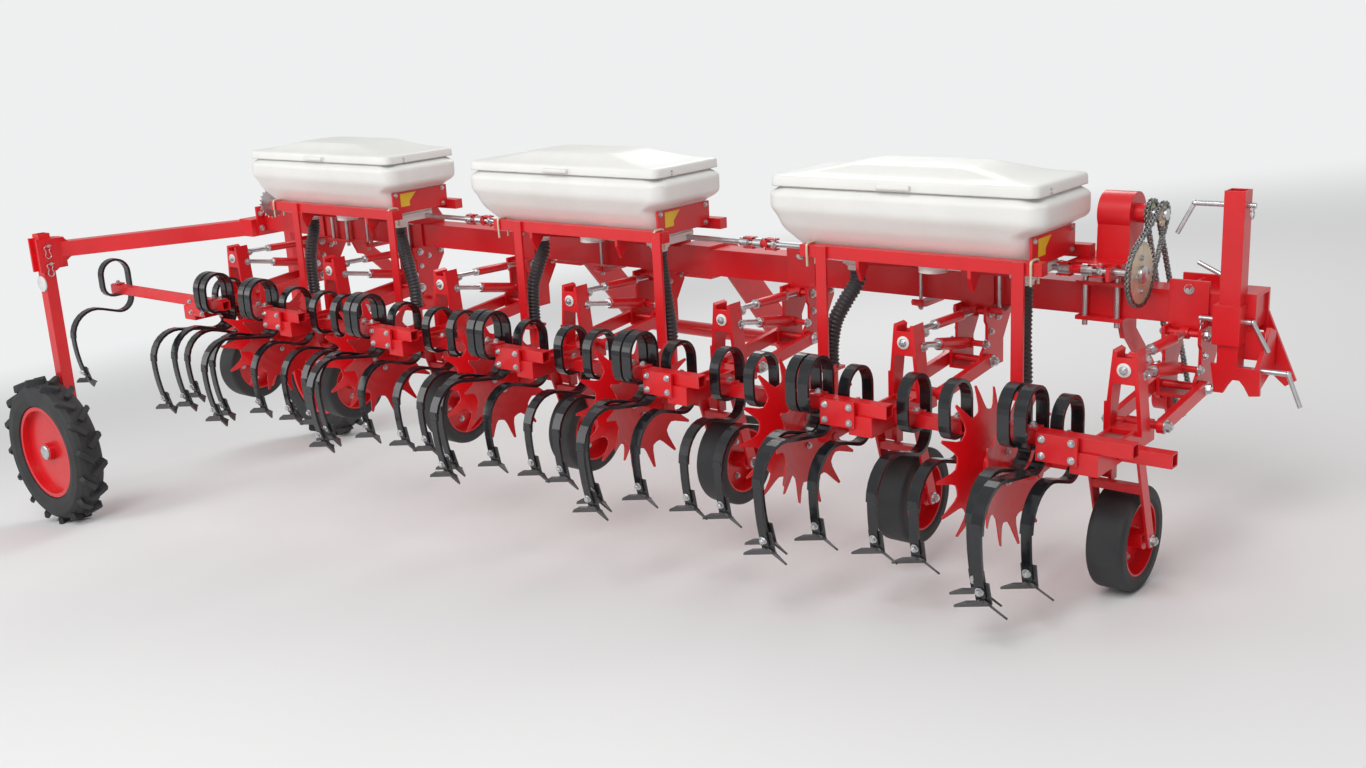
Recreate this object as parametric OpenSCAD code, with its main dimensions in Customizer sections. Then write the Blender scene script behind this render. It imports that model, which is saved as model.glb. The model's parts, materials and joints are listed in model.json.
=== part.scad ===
// Inter-row cultivator with three fertiliser hoppers, set up for lengthwise transport.
// Built level in its own frame: +X to the machine's right, +Y in the working direction,
// Z = 0 under the gauge wheels. parked() then leans it on its transport wheels.

/* [Main beam] */
// Length of the main beam
beam_len = 4810; // [4600:10:5200]
// Outside size of the square beam
beam_size = 100; // [90:5:120]
// Wall of the beam
beam_wall = 8; // [5:1:12]
// Height of the beam's centre above the gauge wheels' footprint
beam_height = 735; // [700:5:800]

/* [Sections] */
// Distance from one section to the next
section_pitch = 700; // [690:5:760]
// Place of the leftmost section along the beam
first_section = -2120; // [-2150:5:-2080]
// Width of the bracket that clamps a section to the beam
bracket_w = 120; // [110:2:130]
// Thickness of the bracket's plates
bracket_t = 10; // [8:1:12]
// Radius of the linkage pins
link_pin_r = 12; // [10:1:14]
// Radius of the upper link's pins
upper_pin_r = 10; // [8:1:12]
// Width of a lower link bar
link_bar_w = 20; // [16:1:24]
// Height of a lower link bar
link_bar_h = 44; // [40:2:50]
// Width of a section's centre box
frame_w = 80; // [70:2:90]
// Side of the square tool bars
tool_bar = 40; // [36:1:45]
// Wall of the tool bars
tool_bar_wall = 4; // [3:1:6]

/* [Gauge wheels] */
// Outside radius of a gauge wheel
gauge_r = 155; // [140:5:165]
// Width of a gauge tyre
gauge_w = 110; // [90:5:116]
// Radius of a gauge wheel's rim under the tyre
gauge_rim_r = 110; // [100:2:120]
// Shoulder radius of a gauge tyre
gauge_shoulder = 15; // [8:1:20]
// Radius of a gauge wheel's axle
gauge_axle_r = 10; // [8:1:12]
// Thickness of a fork arm
fork_t = 8; // [6:1:10]

/* [Tines] */
// Width of a spring tine's strip round its loop
tine_w = 36; // [32:1:36]
// Width of the strip below the heel
tail_w = 28; // [24:1:32]
// Thickness of the strip
tine_t = 11; // [9:1:13]
// Width over a share's wings
share_w = 156; // [130:2:170]
// Thickness of a share
share_t = 6; // [5:1:8]

/* [Star discs] */
// Radius out to a star disc's tips
star_r = 232; // [210:2:236]
// Radius at the root of the tips
star_root_r = 160; // [150:5:170]
// Number of tips on a disc
star_tips = 12; // [10:1:14]
// Plate thickness of a disc
star_t = 4; // [3:1:6]
// Depth of a disc's dish
star_dish = 44; // [30:2:48]
// Radius of the axle that a pair of discs shares
star_axle_r = 14; // [12:1:16]

/* [Hoppers] */
// Width of a hopper
hopper_w = 1000; // [900:10:1040]
// Depth of a hopper, front to back
hopper_d = 400; // [360:10:420]
// Height of a hopper's body
hopper_h = 240; // [220:10:270]
// Wall of a hopper
hopper_wall = 6; // [4:1:8]
// Distance from one hopper to the next
hopper_pitch = 1450; // [1430:5:1480]
// Place of the middle hopper
hopper_mid = -190; // [-220:5:-150]
// Height of a lid's dome
lid_dome = 48; // [30:2:60]
// Outside radius of the fertiliser hoses
hose_r = 27; // [22:1:30]

/* [Transport wheels] */
// Radius out to the lugs' tips
tyre_r = 380; // [360:5:400]
// Width of the transport tyre
tyre_w = 150; // [130:5:170]
// Radius of its rim
tyre_rim_r = 225; // [210:5:240]
// Height of a lug
lug_h = 24; // [18:1:30]
// Number of lugs on each side
lug_count = 16; // [14:1:20]
// Distance from the beam's centre line to a wheel's leg
leg_track = 740; // [700:10:800]
// Height of the transport wheels' hubs above the gauge wheels' footprint
hub_height = -382; // [-420:2:-340]
// Place of the transport wheels along the beam
transport_x = -3440; // [-3500:10:-3380]
// Side of the square tube of arms and legs
leg_tube = 60; // [50:5:70]
// Radius of the transport wheels' axles
tyre_axle_r = 16; // [14:1:20]

/* [Hitch and tow post] */
// Distance between the lower hitch pins' shoulders
hitch_span = 824; // [800:2:860]
// Radius of the lower hitch pins
hitch_pin_r = 14; // [13:0.5:15]
// Length of a lower hitch pin
hitch_pin_len = 60; // [52:2:70]
// Radius of the top link's bore
top_bore_r = 12.7; // [12.5:0.1:13]
// Height of the top link's bore above the lower pins
mast_h = 610; // [580:5:660]
// Side of the tow post's tube
post_size = 60; // [50:5:70]
// Length of the tow post
post_len = 530; // [500:5:600]
// Radius of the cranked lock pins
lock_pin_r = 8; // [6:0.5:10]

/* [Hidden] */
run_gap = 0.05;
seat_gap = 0.2;
sections = [for (i = [0 : 6]) i];
hoppers = [-1, 0, 1];
sides = [-1, 1];

beam_half = beam_size / 2;
beam_top = beam_height + beam_half;
beam_bottom = beam_height - beam_half;
beam_left = -2540;
beam_right = beam_left + beam_len;

low_front = [-110, 510];
low_rear = [-430, 478];
up_front = [-80, 664];
tower_y = -535;
tower_d = 62;
up_rear = [tower_y + tower_d + 6, 676];
strut_front = [-120, 566];
strut_rear = [tower_y + tower_d - 14, 636];
link_x = bracket_w / 2 + 2;
frame_top = 486;
frame_bottom = 425;
rear_bar_y = -760;
front_bar_y = -640;
rear_bar_z = frame_top + tool_bar / 2;
front_bar_z = 456;
fork_top = [-590, 446];
gauge_axle = [-495, gauge_r];
fork_x = gauge_w / 2 + 15;

// Tines of each section: rear bar, front bar, and the long-reach one on the rear bar.
rear_tine_x = [[210], [-210], [-210], [-210], [-210], [-210], [-210]];
front_tine_x = [[110], [-100, 105, 243], [-100, 105, 243], [-100, 105, 243],
  [-100, 105, 243], [-100, 105, 243], [-110]];
long_tine_x = [160, -165, -165, -165, -165, -165, -160];
outboard_x = -620;
rear_bar_span = [[outboard_x - 35, 250], [-267, 85], [-267, 85], [-267, 85], [-267, 85],
  [-267, 85], [-255, 130]];
front_bar_span = [[-190, 150], [-150, 264], [-150, 264], [-150, 264], [-150, 264],
  [-150, 264], [-165, 190]];

star_x = -350;
star_y = -600;
star_z = 340;
star_gap = 146;
bearing_len = 50;
bearing_x = 110;

hopper_y = -190;
hopper_z = 872;
lid_z = hopper_z + hopper_h;
rail = 40;
rail_y = hopper_d / 2 - 30;
rail_len = 860;
outlet_x = 330;
outlet_r = 30;

leg_foot = [leg_track, hub_height];
knee_z = 590;
transport_hub = 90;

// Lean of the parked machine: the transport wheels and the last gauge wheel share one floor.
last_edge_x = first_section + 6 * section_pitch + gauge_w / 2 - gauge_shoulder;
lean_run = last_edge_x - transport_x;
lean_rise = gauge_shoulder - hub_height;
park_lean = asin((tyre_r - gauge_shoulder) / norm([lean_run, lean_rise]))
  + atan(lean_rise / lean_run);
park_lift = last_edge_x * sin(park_lean) + gauge_shoulder * (1 - cos(park_lean));

module at_section(i) translate([first_section + i * section_pitch, 0, 0]) children();
module at_hopper(k) translate([hopper_mid + k * hopper_pitch, hopper_y, 0]) children();

// A bar of length w along X, centred on x, whose outline is drawn in (Y, Z).
module slab_x(x, w) translate([x - w / 2, 0, 0]) rotate([90, 0, 90]) linear_extrude(w)
  children();
// A plate of thickness t along Y from y, whose outline is drawn in (X, Z).
module slab_y(y, t) translate([0, y + t, 0]) rotate([90, 0, 0]) linear_extrude(t) children();
// A pin along X, centred on x.
module pin_x(x, y, z, r, len) translate([x - len / 2, y, z]) rotate([0, 90, 0])
  cylinder(r = r, h = len, $fn = 48);
module pin_y(x, y, z, r, len) translate([x, y - len / 2, z]) rotate([-90, 0, 0])
  cylinder(r = r, h = len, $fn = 48);
module pin_z(x, y, z, r, len) translate([x, y, z]) cylinder(r = r, h = len, $fn = 48);
// A box given by its low and high corners.
module box(low, high) translate(low) cube(high - low);
// Outline of a flat bar with round ends from a to b.
module bar_2d(a, b, w) {
  ang = atan2(b[1] - a[1], b[0] - a[0]);
  translate(a) rotate(ang) translate([0, -w / 2 + 1]) square([norm(b - a), w - 2]);
  translate(a) circle(r = w / 2, $fn = 48);
  translate(b) circle(r = w / 2, $fn = 48);
}

// ---- Main beam ----
module main_beam() color("red") difference() {
  box([beam_left, -beam_half, beam_bottom], [beam_right, beam_half, beam_top]);
  box([beam_left - 1, -beam_half + beam_wall, beam_bottom + beam_wall],
    [beam_right - beam_wall, beam_half - beam_wall, beam_top - beam_wall]);
}

// ---- Three-point headstock ----
hitch_x = -135;
hitch_pin = [450, 320];
mast_top = [250, hitch_pin[1] + mast_h];
pad_w = 140;
pad_x = hitch_span / 2 - pad_w / 2 - 7;
module headstock() color("red") translate([hitch_x, 0, 0]) {
  difference() {
    union() {
      for (s = sides) {
        // clamp pad round the beam
        box([s * pad_x - pad_w / 2, beam_half, beam_bottom - 12],
          [s * pad_x + pad_w / 2, beam_half + 12, beam_top + 12]);
        box([s * pad_x - pad_w / 2, -beam_half - 12, beam_top],
          [s * pad_x + pad_w / 2, beam_half + 12, beam_top + 12]);
        box([s * pad_x - pad_w / 2, -beam_half - 12, beam_bottom - 12],
          [s * pad_x + pad_w / 2, beam_half + 12, beam_bottom]);
        // cheek that carries the lower hitch bar
        slab_x(s * (hitch_span / 2 - 30), 16) difference() {
          polygon([[beam_half + 10, beam_top + 12], [beam_half + 60, beam_top + 12],
            [hitch_pin[0] + 45, hitch_pin[1] + 60], [hitch_pin[0] + 45, hitch_pin[1] - 40],
            [hitch_pin[0] - 45, hitch_pin[1] - 40], [beam_half + 10, beam_bottom - 12]]);
          translate(hitch_pin) circle(r = 30, $fn = 48);
        }
      }
      // cross member and mast
      box([-pad_x - pad_w / 2, beam_half + 12, beam_bottom], [pad_x + pad_w / 2, beam_half + 62,
        beam_bottom + 60]);
      for (s = sides) slab_x(s * 42, 14) polygon([[beam_half + 12, beam_bottom + 10],
        [beam_half + 62, beam_bottom], [mast_top[0] + 35, mast_top[1] - 40],
        [mast_top[0] + 35, mast_top[1] + 35], [mast_top[0] - 35, mast_top[1] + 35],
        [beam_half + 12, beam_top]]);
      box([-49, mast_top[0] - 120, mast_top[1] - 130], [49, mast_top[0] - 106, mast_top[1] - 60]);
    }
    pin_x(0, mast_top[0], mast_top[1], top_bore_r, 200);
  }
}
module lower_hitch_bar() color("red") translate([hitch_x, 0, 0]) {
  pin_x(0, hitch_pin[0], hitch_pin[1], 30, hitch_span - 10);
  for (s = sides) pin_x(s * (hitch_span / 2 - 5), hitch_pin[0], hitch_pin[1], 36, 10);
  pin_x(0, hitch_pin[0], hitch_pin[1], hitch_pin_r, hitch_span + 2 * hitch_pin_len);
}

// ---- Sections: bracket on the beam ----
bracket_drop = 478;
module bracket_side() polygon([[-112, beam_bottom], [beam_half + bracket_t, beam_bottom],
  [beam_half + bracket_t, beam_bottom - 50], [10, 560], [10, bracket_drop],
  [-140, bracket_drop], [-140, 535], [-100, 575], [-100, 625], [-112, 640]]);
module section_bracket() {
  half = bracket_w / 2;
  for (s = sides) slab_x(s * (half - bracket_t / 2), bracket_t) bracket_side();
  box([-half, -beam_half - bracket_t, beam_bottom - 15], [half, -beam_half, beam_top + 36]);
  box([-half, beam_half, beam_bottom - 50], [half, beam_half + bracket_t, beam_top + 36]);
  pin_y(0, 0, beam_top + 16, 8, beam_size + 2 * bracket_t + 30);
  box([-half, -140, bracket_drop], [half, 10, bracket_drop + 10]);
  pin_x(0, low_front[0], low_front[1], link_pin_r, 2 * (link_x + link_bar_w + 10));
  pin_x(0, up_front[0], up_front[1], upper_pin_r, bracket_w);
  pin_x(0, strut_front[0], strut_front[1], upper_pin_r, bracket_w);
}
module section_brackets() color("red") for (i = sections) at_section(i) section_bracket();

// ---- Upper link, a turnbuckle ----
link_eye_r = 17;
link_eye_w = 26;
module eye_x(p, r, bore, w) translate([0, p[0], p[1]]) rotate([45, 0, 0]) difference() {
  pin_x(0, 0, 0, r, w);
  pin_x(0, 0, 0, bore + seat_gap, w + 2);
}
// Rod of radius r in the YZ plane from a to b, trimmed by the given lengths.
module rod_yz(a, b, r, from, upto) {
  ang = atan2(b[1] - a[1], b[0] - a[0]);
  translate([0, a[0], a[1]]) rotate([ang, 0, 0]) translate([0, from, 0]) rotate([-90, 0, 0])
    cylinder(r = r, h = upto - from, $fn = 48);
}
module turnbuckle(a, b, bore_r, rod_r, tube_r, tube_a, tube_b) {
  span = norm(b - a);
  eye_x(a, link_eye_r, bore_r, link_eye_w);
  eye_x(b, link_eye_r, bore_r, link_eye_w);
  rod_yz(a, b, rod_r, link_eye_r - 2, span - link_eye_r + 2);
  rod_yz(a, b, tube_r, tube_a, span - tube_b);
}
module upper_links() color("red") for (i = sections) at_section(i)
  turnbuckle(up_front, up_rear, upper_pin_r, 9, 16, 95, 130);
module spring_struts() color("red") for (i = sections) at_section(i)
  turnbuckle(strut_front, strut_rear, upper_pin_r, 9, 20, 30, 170);

// ---- Lower links ----
module lower_link(x) difference() {
  slab_x(x, link_bar_w) bar_2d(low_front, low_rear, link_bar_h);
  for (p = [low_front, low_rear]) pin_x(x, p[0], p[1], link_pin_r + seat_gap, link_bar_w + 2);
}
module lower_links() color("red") for (i = sections, s = sides) at_section(i)
  lower_link(s * (link_x + link_bar_w / 2));

// ---- Section frame with its tower ----
module tower_side(s) slab_y(tower_y, tower_d) polygon([[s * 56, frame_top - 4],
  [s * 44, frame_top - 4], [s * 22, 705], [s * 34, 712]]);
module section_frame(side) difference() {
  half = frame_w / 2;
  union() {
    difference() {
      box([-half, -790, frame_bottom], [half, low_rear[0] + 30, frame_top]);
      box([-half + 10, -780, frame_bottom - 1], [half - 10, low_rear[0] + 20, frame_top + 1]);
    }
    box([-56, tower_y, frame_top - 16], [56, tower_y + tower_d, frame_top]);
    for (s = sides) tower_side(s);
    box([-36, tower_y, 615], [36, tower_y + 8, 690]);
    box([-56, tower_y, frame_top], [-36, tower_y + 8, 560]);
    pin_x(0, up_rear[0], up_rear[1], upper_pin_r, 66);
    pin_x(0, strut_rear[0], strut_rear[1], upper_pin_r, 80);
    pin_x(0, low_rear[0], low_rear[1], link_pin_r, 2 * (link_x + link_bar_w + 10));
    pin_x(0, fork_top[0], fork_top[1], 26, 2 * fork_x);
    // carrier plate behind the rear tool bar, on one side
    box([min(15 * side, 135 * side), -800, 448], [max(15 * side, 135 * side), -790, 528]);
  }
  box([-half - 1, front_bar_y - tool_bar / 2, front_bar_z - tool_bar / 2],
    [half + 1, front_bar_y + tool_bar / 2, front_bar_z + tool_bar / 2]);
}
module section_frames() color("red") for (i = sections) at_section(i)
  section_frame(i == 0 ? 1 : -1);

// ---- Gauge wheel fork ----
fork_bar = [-556, 326];
module gauge_fork() {
  for (s = sides) slab_x(s * (fork_x + fork_t / 2), fork_t) bar_2d(fork_top, gauge_axle, 44);
  box([-fork_x, fork_bar[0] - 12, fork_bar[1] - 12], [fork_x, fork_bar[0] + 12,
    fork_bar[1] + 12]);
  pin_x(0, gauge_axle[0], gauge_axle[1], gauge_axle_r, 2 * (fork_x + fork_t + 12));
}
module gauge_forks() color("red") for (i = sections) at_section(i) gauge_fork();

// ---- Tool bars ----
module square_tube(x0, x1, y, z) difference() {
  h = tool_bar / 2;
  box([x0, y - h, z - h], [x1, y + h, z + h]);
  box([x0 - 1, y - h + tool_bar_wall, z - h + tool_bar_wall],
    [x1 + 1, y + h - tool_bar_wall, z + h - tool_bar_wall]);
}
module tool_bars() color("red") for (i = sections) at_section(i) {
  square_tube(rear_bar_span[i][0], rear_bar_span[i][1], rear_bar_y, rear_bar_z);
  square_tube(front_bar_span[i][0], front_bar_span[i][1], front_bar_y, front_bar_z);
}

// ---- Spring tines ----
// Centre line in (Y, Z) from the bar's underside: back, up round a tall loop, under the bar
// again, rearwards, then down and gently forward to the share.
hook_r = 45;
crown_r = 68;
belly_r = 65;
heel_r = 115;
heel_y = -145;
heel_z = -185;
tail_r = 600;
tip_z = 137;
long_reach = 67;
start_z = -(tool_bar + tine_t) / 2;
hook_c = [-35, start_z + hook_r];
crown_c = [crown_r - 80, 72];
belly_c = [2 * crown_r - 80 - belly_r, -40];
function arc_pts(c, r, a0, a1, n) =
  [for (k = [0 : n]) c + r * [cos(a0 + (a1 - a0) * k / n), sin(a0 + (a1 - a0) * k / n)]];
// Lean of the tail where it brings the tip of a tine on a bar at height z down to tip_z.
function tail_lean(z) = asin((z + heel_z - tip_z) / tail_r);
function tail_line(z, reach) = arc_pts([heel_y - reach - heel_r + tail_r, heel_z], tail_r,
  180, 180 + tail_lean(z), 5);
function tail_end(z, reach) = tail_line(z, reach)[5];
function loop_line(reach) = concat([[20, start_z]], arc_pts(hook_c, hook_r, 270, 180, 4),
  arc_pts(crown_c, crown_r, 180, 0, 14), arc_pts(belly_c, belly_r, 0, -110, 8),
  arc_pts([heel_y - reach, heel_z], heel_r, 70, 180, 8));
function unit(v) = v / norm(v);
function normal_at(p, k) = let (a = p[max(k - 1, 0)], b = p[min(k + 1, len(p) - 1)],
  d = unit(b - a)) [-d[1], d[0]];
module strip_2d(p, t) polygon(concat([for (k = [0 : len(p) - 1]) p[k] + normal_at(p, k) * t / 2],
  [for (k = [len(p) - 1 : -1 : 0]) p[k] - normal_at(p, k) * t / 2]));
// The strip narrows below the heel.
module tine(x, y, z, reach = 0) translate([0, y, z]) {
  slab_x(x, tine_w) strip_2d(loop_line(reach), tine_t);
  slab_x(x, tail_w) strip_2d(concat([[heel_y - reach - heel_r, heel_z + 30]],
    tail_line(z, reach)), tine_t - 1);
}
module rear_tines() color("black") for (i = sections) at_section(i) {
  for (x = rear_tine_x[i]) tine(x, rear_bar_y, rear_bar_z);
  if (i == 0) tine(outboard_x, rear_bar_y, rear_bar_z);
  tine(long_tine_x[i], rear_bar_y, rear_bar_z, long_reach);
}
module front_tines() color("black") for (i = sections, x = front_tine_x[i]) at_section(i)
  tine(x, front_bar_y, front_bar_z);

// ---- Shares: a stem bolted to the tine's front face and two swept wings ----
stem_len = 42;
nose = [45, -45];
sweep = 35;
pitch = 42;
module wing_2d() polygon([[-5, 0], [share_w / 2 / cos(sweep), 0],
  [share_w / 2 / cos(sweep) - 4, -10], [share_w / 2 / cos(sweep) - 30, -38], [40, -38],
  [32, -46], [19, -46]]);
module share(x, y, z, reach = 0) {
  foot = tail_end(z, reach);
  // the stem lies along the chord of the curved tail
  lean = tail_lean(z) - stem_len / 2 / tail_r * 180 / PI;
  translate([x, y + foot[0], z + foot[1]]) {
    rotate([lean, 0, 0]) box([-23, tine_t / 2 + run_gap, -27],
      [23, tine_t / 2 + share_t, stem_len]);
    for (s = sides) mirror([(1 - s) / 2, 0, 0]) translate([0, nose[0], nose[1]])
      rotate([0, 0, -sweep]) rotate([-pitch, 0, 0]) linear_extrude(share_t) wing_2d();
  }
}
module rear_shares() color("dimgray") for (i = sections) at_section(i) {
  for (x = rear_tine_x[i]) share(x, rear_bar_y, rear_bar_z);
  if (i == 0) share(outboard_x, rear_bar_y, rear_bar_z);
  share(long_tine_x[i], rear_bar_y, rear_bar_z, long_reach);
}
module front_shares() color("dimgray") for (i = sections, x = front_tine_x[i]) at_section(i)
  share(x, front_bar_y, front_bar_z);

// ---- Star discs: a pair on one axle, carried from the next section's left ----
module star_2d() difference() {
  step = 360 / star_tips;
  polygon([for (k = [0 : star_tips - 1], q = [[-0.29, star_root_r + 3], [-0.18, star_root_r + 18],
    [-0.035, star_r], [0.035, star_r], [0.18, star_root_r + 18], [0.29, star_root_r + 3],
    [0.5, star_root_r]]) q[1] * [cos((k + q[0]) * step), sin((k + q[0]) * step)]]);
  circle(r = star_axle_r - 1, $fn = 48);
}
// Axle along Z here; side +1 is the disc whose hollow faces +Z.
dish_r = (star_r * star_r + star_dish * star_dish) / (2 * star_dish);
function dish_at(r) = dish_r - sqrt(dish_r * dish_r - r * r);
module star_disc(s) {
  flat_z = s * (star_gap / 2 - star_dish);
  rings = [10, 70, 115, 150, 180, 207, star_r + 4];
  intersection() {
    translate([0, 0, -star_gap]) linear_extrude(2 * star_gap) star_2d();
    rotate_extrude($fn = 64) polygon(concat([for (r = rings) [r, flat_z + s * dish_at(r)]],
      [for (k = [len(rings) - 1 : -1 : 0]) [rings[k], flat_z + s * (dish_at(rings[k])
        - star_t)]]));
  }
}
module star_pair() color("red") {
  for (s = sides) star_disc(s);
  hub = star_gap - 2 * star_dish;
  translate([0, 0, -hub / 2]) cylinder(r = 36, h = hub, $fn = 48);
  translate([0, 0, -hub / 2 - 14]) cylinder(r = star_axle_r, h = bearing_x + bearing_len / 2
    + hub / 2 + 18, $fn = 48);
}
module place_star(i) at_section(i) translate([star_x, star_y, star_z]) rotate([0, 90, 0])
  children();
module disc_arm() {
  x = star_x + bearing_x;
  difference() {
    union() {
      pin_x(x, star_y, star_z, 27, bearing_len);
      slab_x(x, 30) bar_2d([star_y, star_z], [-499, 346], 40);
      box([x, -505, 326], [-30, -493, 366]);
    }
    pin_x(x, star_y, star_z, star_axle_r + run_gap, bearing_len + 2);
  }
  box([-40, -530, 326], [-30, -493, frame_bottom]);
}
module disc_arms() color("red") for (i = [1 : 6]) at_section(i) disc_arm();

// ---- Hoppers ----
function hopper_front(w, h, t) = [[-w * 0.40 + t, t], [w * 0.44 - t, t],
  [w * 0.44 - t, h * 0.42], [w * 0.5 - t, h * 0.52 + t], [w * 0.5 - t, h * 0.84],
  [w * 0.46 - t, h * 0.89], [w * 0.46 - t, h + 1], [-w * 0.46 + t, h + 1],
  [-w * 0.46 + t, h * 0.89], [-w * 0.5 + t, h * 0.84],
  [-w * 0.5 + t, h * 0.60 + t], [-w * 0.485 + t, h * 0.54 + t], [-w * 0.47 + t, h * 0.3 + t]];
function hopper_side(d, h, t) = [[-d * 0.3 + t, t], [d * 0.3 - t, t],
  [d * 0.44 - t, h * 0.35 + t], [d * 0.5 - t, h * 0.6], [d * 0.5 - t, h * 0.84],
  [d * 0.43 - t, h * 0.89], [d * 0.43 - t, h + 1], [-d * 0.43 + t, h + 1],
  [-d * 0.43 + t, h * 0.89], [-d * 0.5 + t, h * 0.84], [-d * 0.5 + t, h * 0.6],
  [-d * 0.44 + t, h * 0.35 + t]];
module hopper_block(t) intersection() {
  slab_y(-hopper_d, 2 * hopper_d) polygon(hopper_front(hopper_w, hopper_h, t));
  slab_x(0, 2 * hopper_w) polygon(hopper_side(hopper_d, hopper_h, t));
}
module hopper(k) color("white") at_hopper(k) translate([0, 0, hopper_z]) difference() {
  hopper_block(0);
  hopper_block(hopper_wall);
  // the mouth, cut level
  box([-hopper_w, -hopper_d, hopper_h], [hopper_w, hopper_d, hopper_h + 2]);
}
lid_lap = 26;
lid_gap = 5;
module lid_shell(g) {
  w = hopper_w * 0.48 - g;
  d = hopper_d * 0.475 - g;
  intersection() {
    slab_y(-hopper_d, 2 * hopper_d) polygon([[-w, -lid_lap], [w, -lid_lap], [w, 6 - g],
      [w * 0.5, lid_dome - g], [-w * 0.5, lid_dome - g], [-w, 6 - g]]);
    slab_x(0, 2 * hopper_w) polygon([[-d, -lid_lap], [d, -lid_lap], [d, 10 - g],
      [d * 0.6, lid_dome - g], [-d * 0.6, lid_dome - g], [-d, 10 - g]]);
  }
}

// A lid closes over its hopper's neck and swings on two knuckles at the front edge.
hinge_y = hopper_d * 0.475 + 14;
hinge_z = lid_z + lid_gap - 8;
knuckle_r = 9;
hinge_pin_r = 4;
module lid(k) color("white") at_hopper(k) {
  translate([0, 0, lid_z + lid_gap]) difference() {
    lid_shell(0);
    lid_shell(hopper_wall);
    box([-hopper_w * 0.48 + hopper_wall, -hopper_d * 0.475 + hopper_wall, -lid_lap - 1],
      [hopper_w * 0.48 - hopper_wall, hopper_d * 0.475 - hopper_wall, -lid_lap + 1]);
  }
  for (s = sides) difference() {
    union() {
      pin_x(s * 300, hinge_y, hinge_z, knuckle_r, 60);
      box([s * 300 - 30, hopper_d * 0.475 - 2, hinge_z - 6], [s * 300 + 30, hinge_y - 4,
        hinge_z + 6]);
    }
    pin_x(s * 300, hinge_y, hinge_z, hinge_pin_r + run_gap, 70);
  }
  // grip bump at the rear edge
  box([-60, -hopper_d * 0.475 - 16, lid_z - 16], [60, -hopper_d * 0.475 + 1, lid_z + 2]);
}
module hinge_ears() for (s = sides) {
  pin_x(s * 300, hinge_y, hinge_z, hinge_pin_r, 100);
  for (t = sides) slab_x(s * 300 + t * 42, 12) polygon([[hopper_d * 0.48, lid_z - 38],
    [hopper_d * 0.49, lid_z - 62], [hinge_y + 7, hinge_z - 8], [hinge_y + 7, hinge_z + 7],
    [hinge_y - 6, hinge_z + 7], [hinge_y - 6, lid_z - 30]]);
}

// ---- Metering units under a hopper, on the long shaft that turns them ----
meter_x = [-210, 390];
shaft_y = -145;
shaft_z = 845;
shaft_r = 10;
mouth_y = -270;
mouth_z = 812;
module metering(x) difference() {
  union() {
    box([x - 34, -304, 832], [x + 34, -112, hopper_z]);
    translate([x, mouth_y, mouth_z]) cylinder(r1 = outlet_r, r2 = outlet_r + 4, h = 22,
      $fn = 48);
  }
  pin_x(x, shaft_y, shaft_z, shaft_r + run_gap, 80);
}
module hopper_with_fittings(k) {
  hopper(k);
  color("white") at_hopper(k) hinge_ears();
  color("white") translate([hopper_mid + k * hopper_pitch, 0, 0])
    for (x = meter_x) metering(x);
}

// ---- Rails and brackets that stand the hoppers on the beam ----
rail_mid = 68;
rail_low = hopper_z - 10;
support_x = [[-140, 310], [-160, 275], [-140, 260]];
module support_2d() difference() {
  polygon([[beam_half, beam_top], [beam_half, beam_top + 18], [10, rail_low], [-40, rail_low],
    [-40, hopper_z], [-340, hopper_z], [-340, rail_low], [-380, rail_low], [-380, 838],
    [-358, 792], [-318, 838], [-beam_half, beam_top]]);
  translate([shaft_y, shaft_z]) circle(r = shaft_r + seat_gap, $fn = 48);
}
module hopper_rail_set(k) translate([hopper_mid + k * hopper_pitch, 0, 0]) {
  for (y = [-380, -40]) box([rail_mid - rail_len / 2, y, rail_low], [rail_mid + rail_len / 2,
    y + rail, rail_low + rail]);
  for (x = support_x[k + 1]) slab_x(x, 12) support_2d();
  box([hopper_w * 0.44, -340, 878], [hopper_w * 0.44 + 8, -40, 968]);
}
module hopper_rails() color("red") for (k = hoppers) hopper_rail_set(k);

// ---- Fertiliser hoses, one to each row between the sections ----
module hose_path(p, r) for (k = [0 : len(p) - 2]) {
  d = p[k + 1] - p[k];
  translate(p[k]) rotate([0, acos(d[2] / norm(d)), atan2(d[1], d[0])])
    cylinder(r = r, h = norm(d), $fn = 48);
  if (k > 0) translate(p[k]) rotate([0, 0, 45]) sphere(r = r + 2, $fn = 48);
}
hose_end = [-330, 486];
hose_shift = -50;
function hose_start(k, m) = hopper_mid + k * hopper_pitch + meter_x[m];
function hose_row(k, m) = first_section + (2 * k + m + 3) * section_pitch + star_x + hose_shift;
module hose(a, b) hose_path([[a, mouth_y, mouth_z], [a, mouth_y, mouth_z - 36],
  [a + (b - a) * 0.8, hose_end[0] + 6, 640], [b, hose_end[0], 560],
  [b, hose_end[0], hose_end[1]]], hose_r);
module hoses() color("black") for (k = hoppers, m = [0, 1]) hose(hose_start(k, m),
  hose_row(k, m));
upright_x = [[6, -45], [6, 5], [6, 5]];
module hose_upright(x, row) {
  box([x - 20, -390, 476], [x + 20, -380, rail_low + rail]);
  difference() {
    union() {
      box([min(x - 20, row - 33), hose_end[0] - 33, 476], [max(x + 20, row + 33),
        hose_end[0] + 33, 486]);
      box([x - 20, -390, 476], [x + 20, hose_end[0], 486]);
      pin_z(row, hose_end[0], 392, 22, 90);
    }
    pin_z(row, hose_end[0], 380, 18, 120);
  }
  slab_x(x, 8) polygon([[-382, 484], [-364, 484], [-382, 540]]);
}
module hose_uprights() color("red") for (k = hoppers, m = [0, 1])
  hose_upright(hose_row(k, m) + upright_x[k + 1][m], hose_row(k, m));

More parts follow.
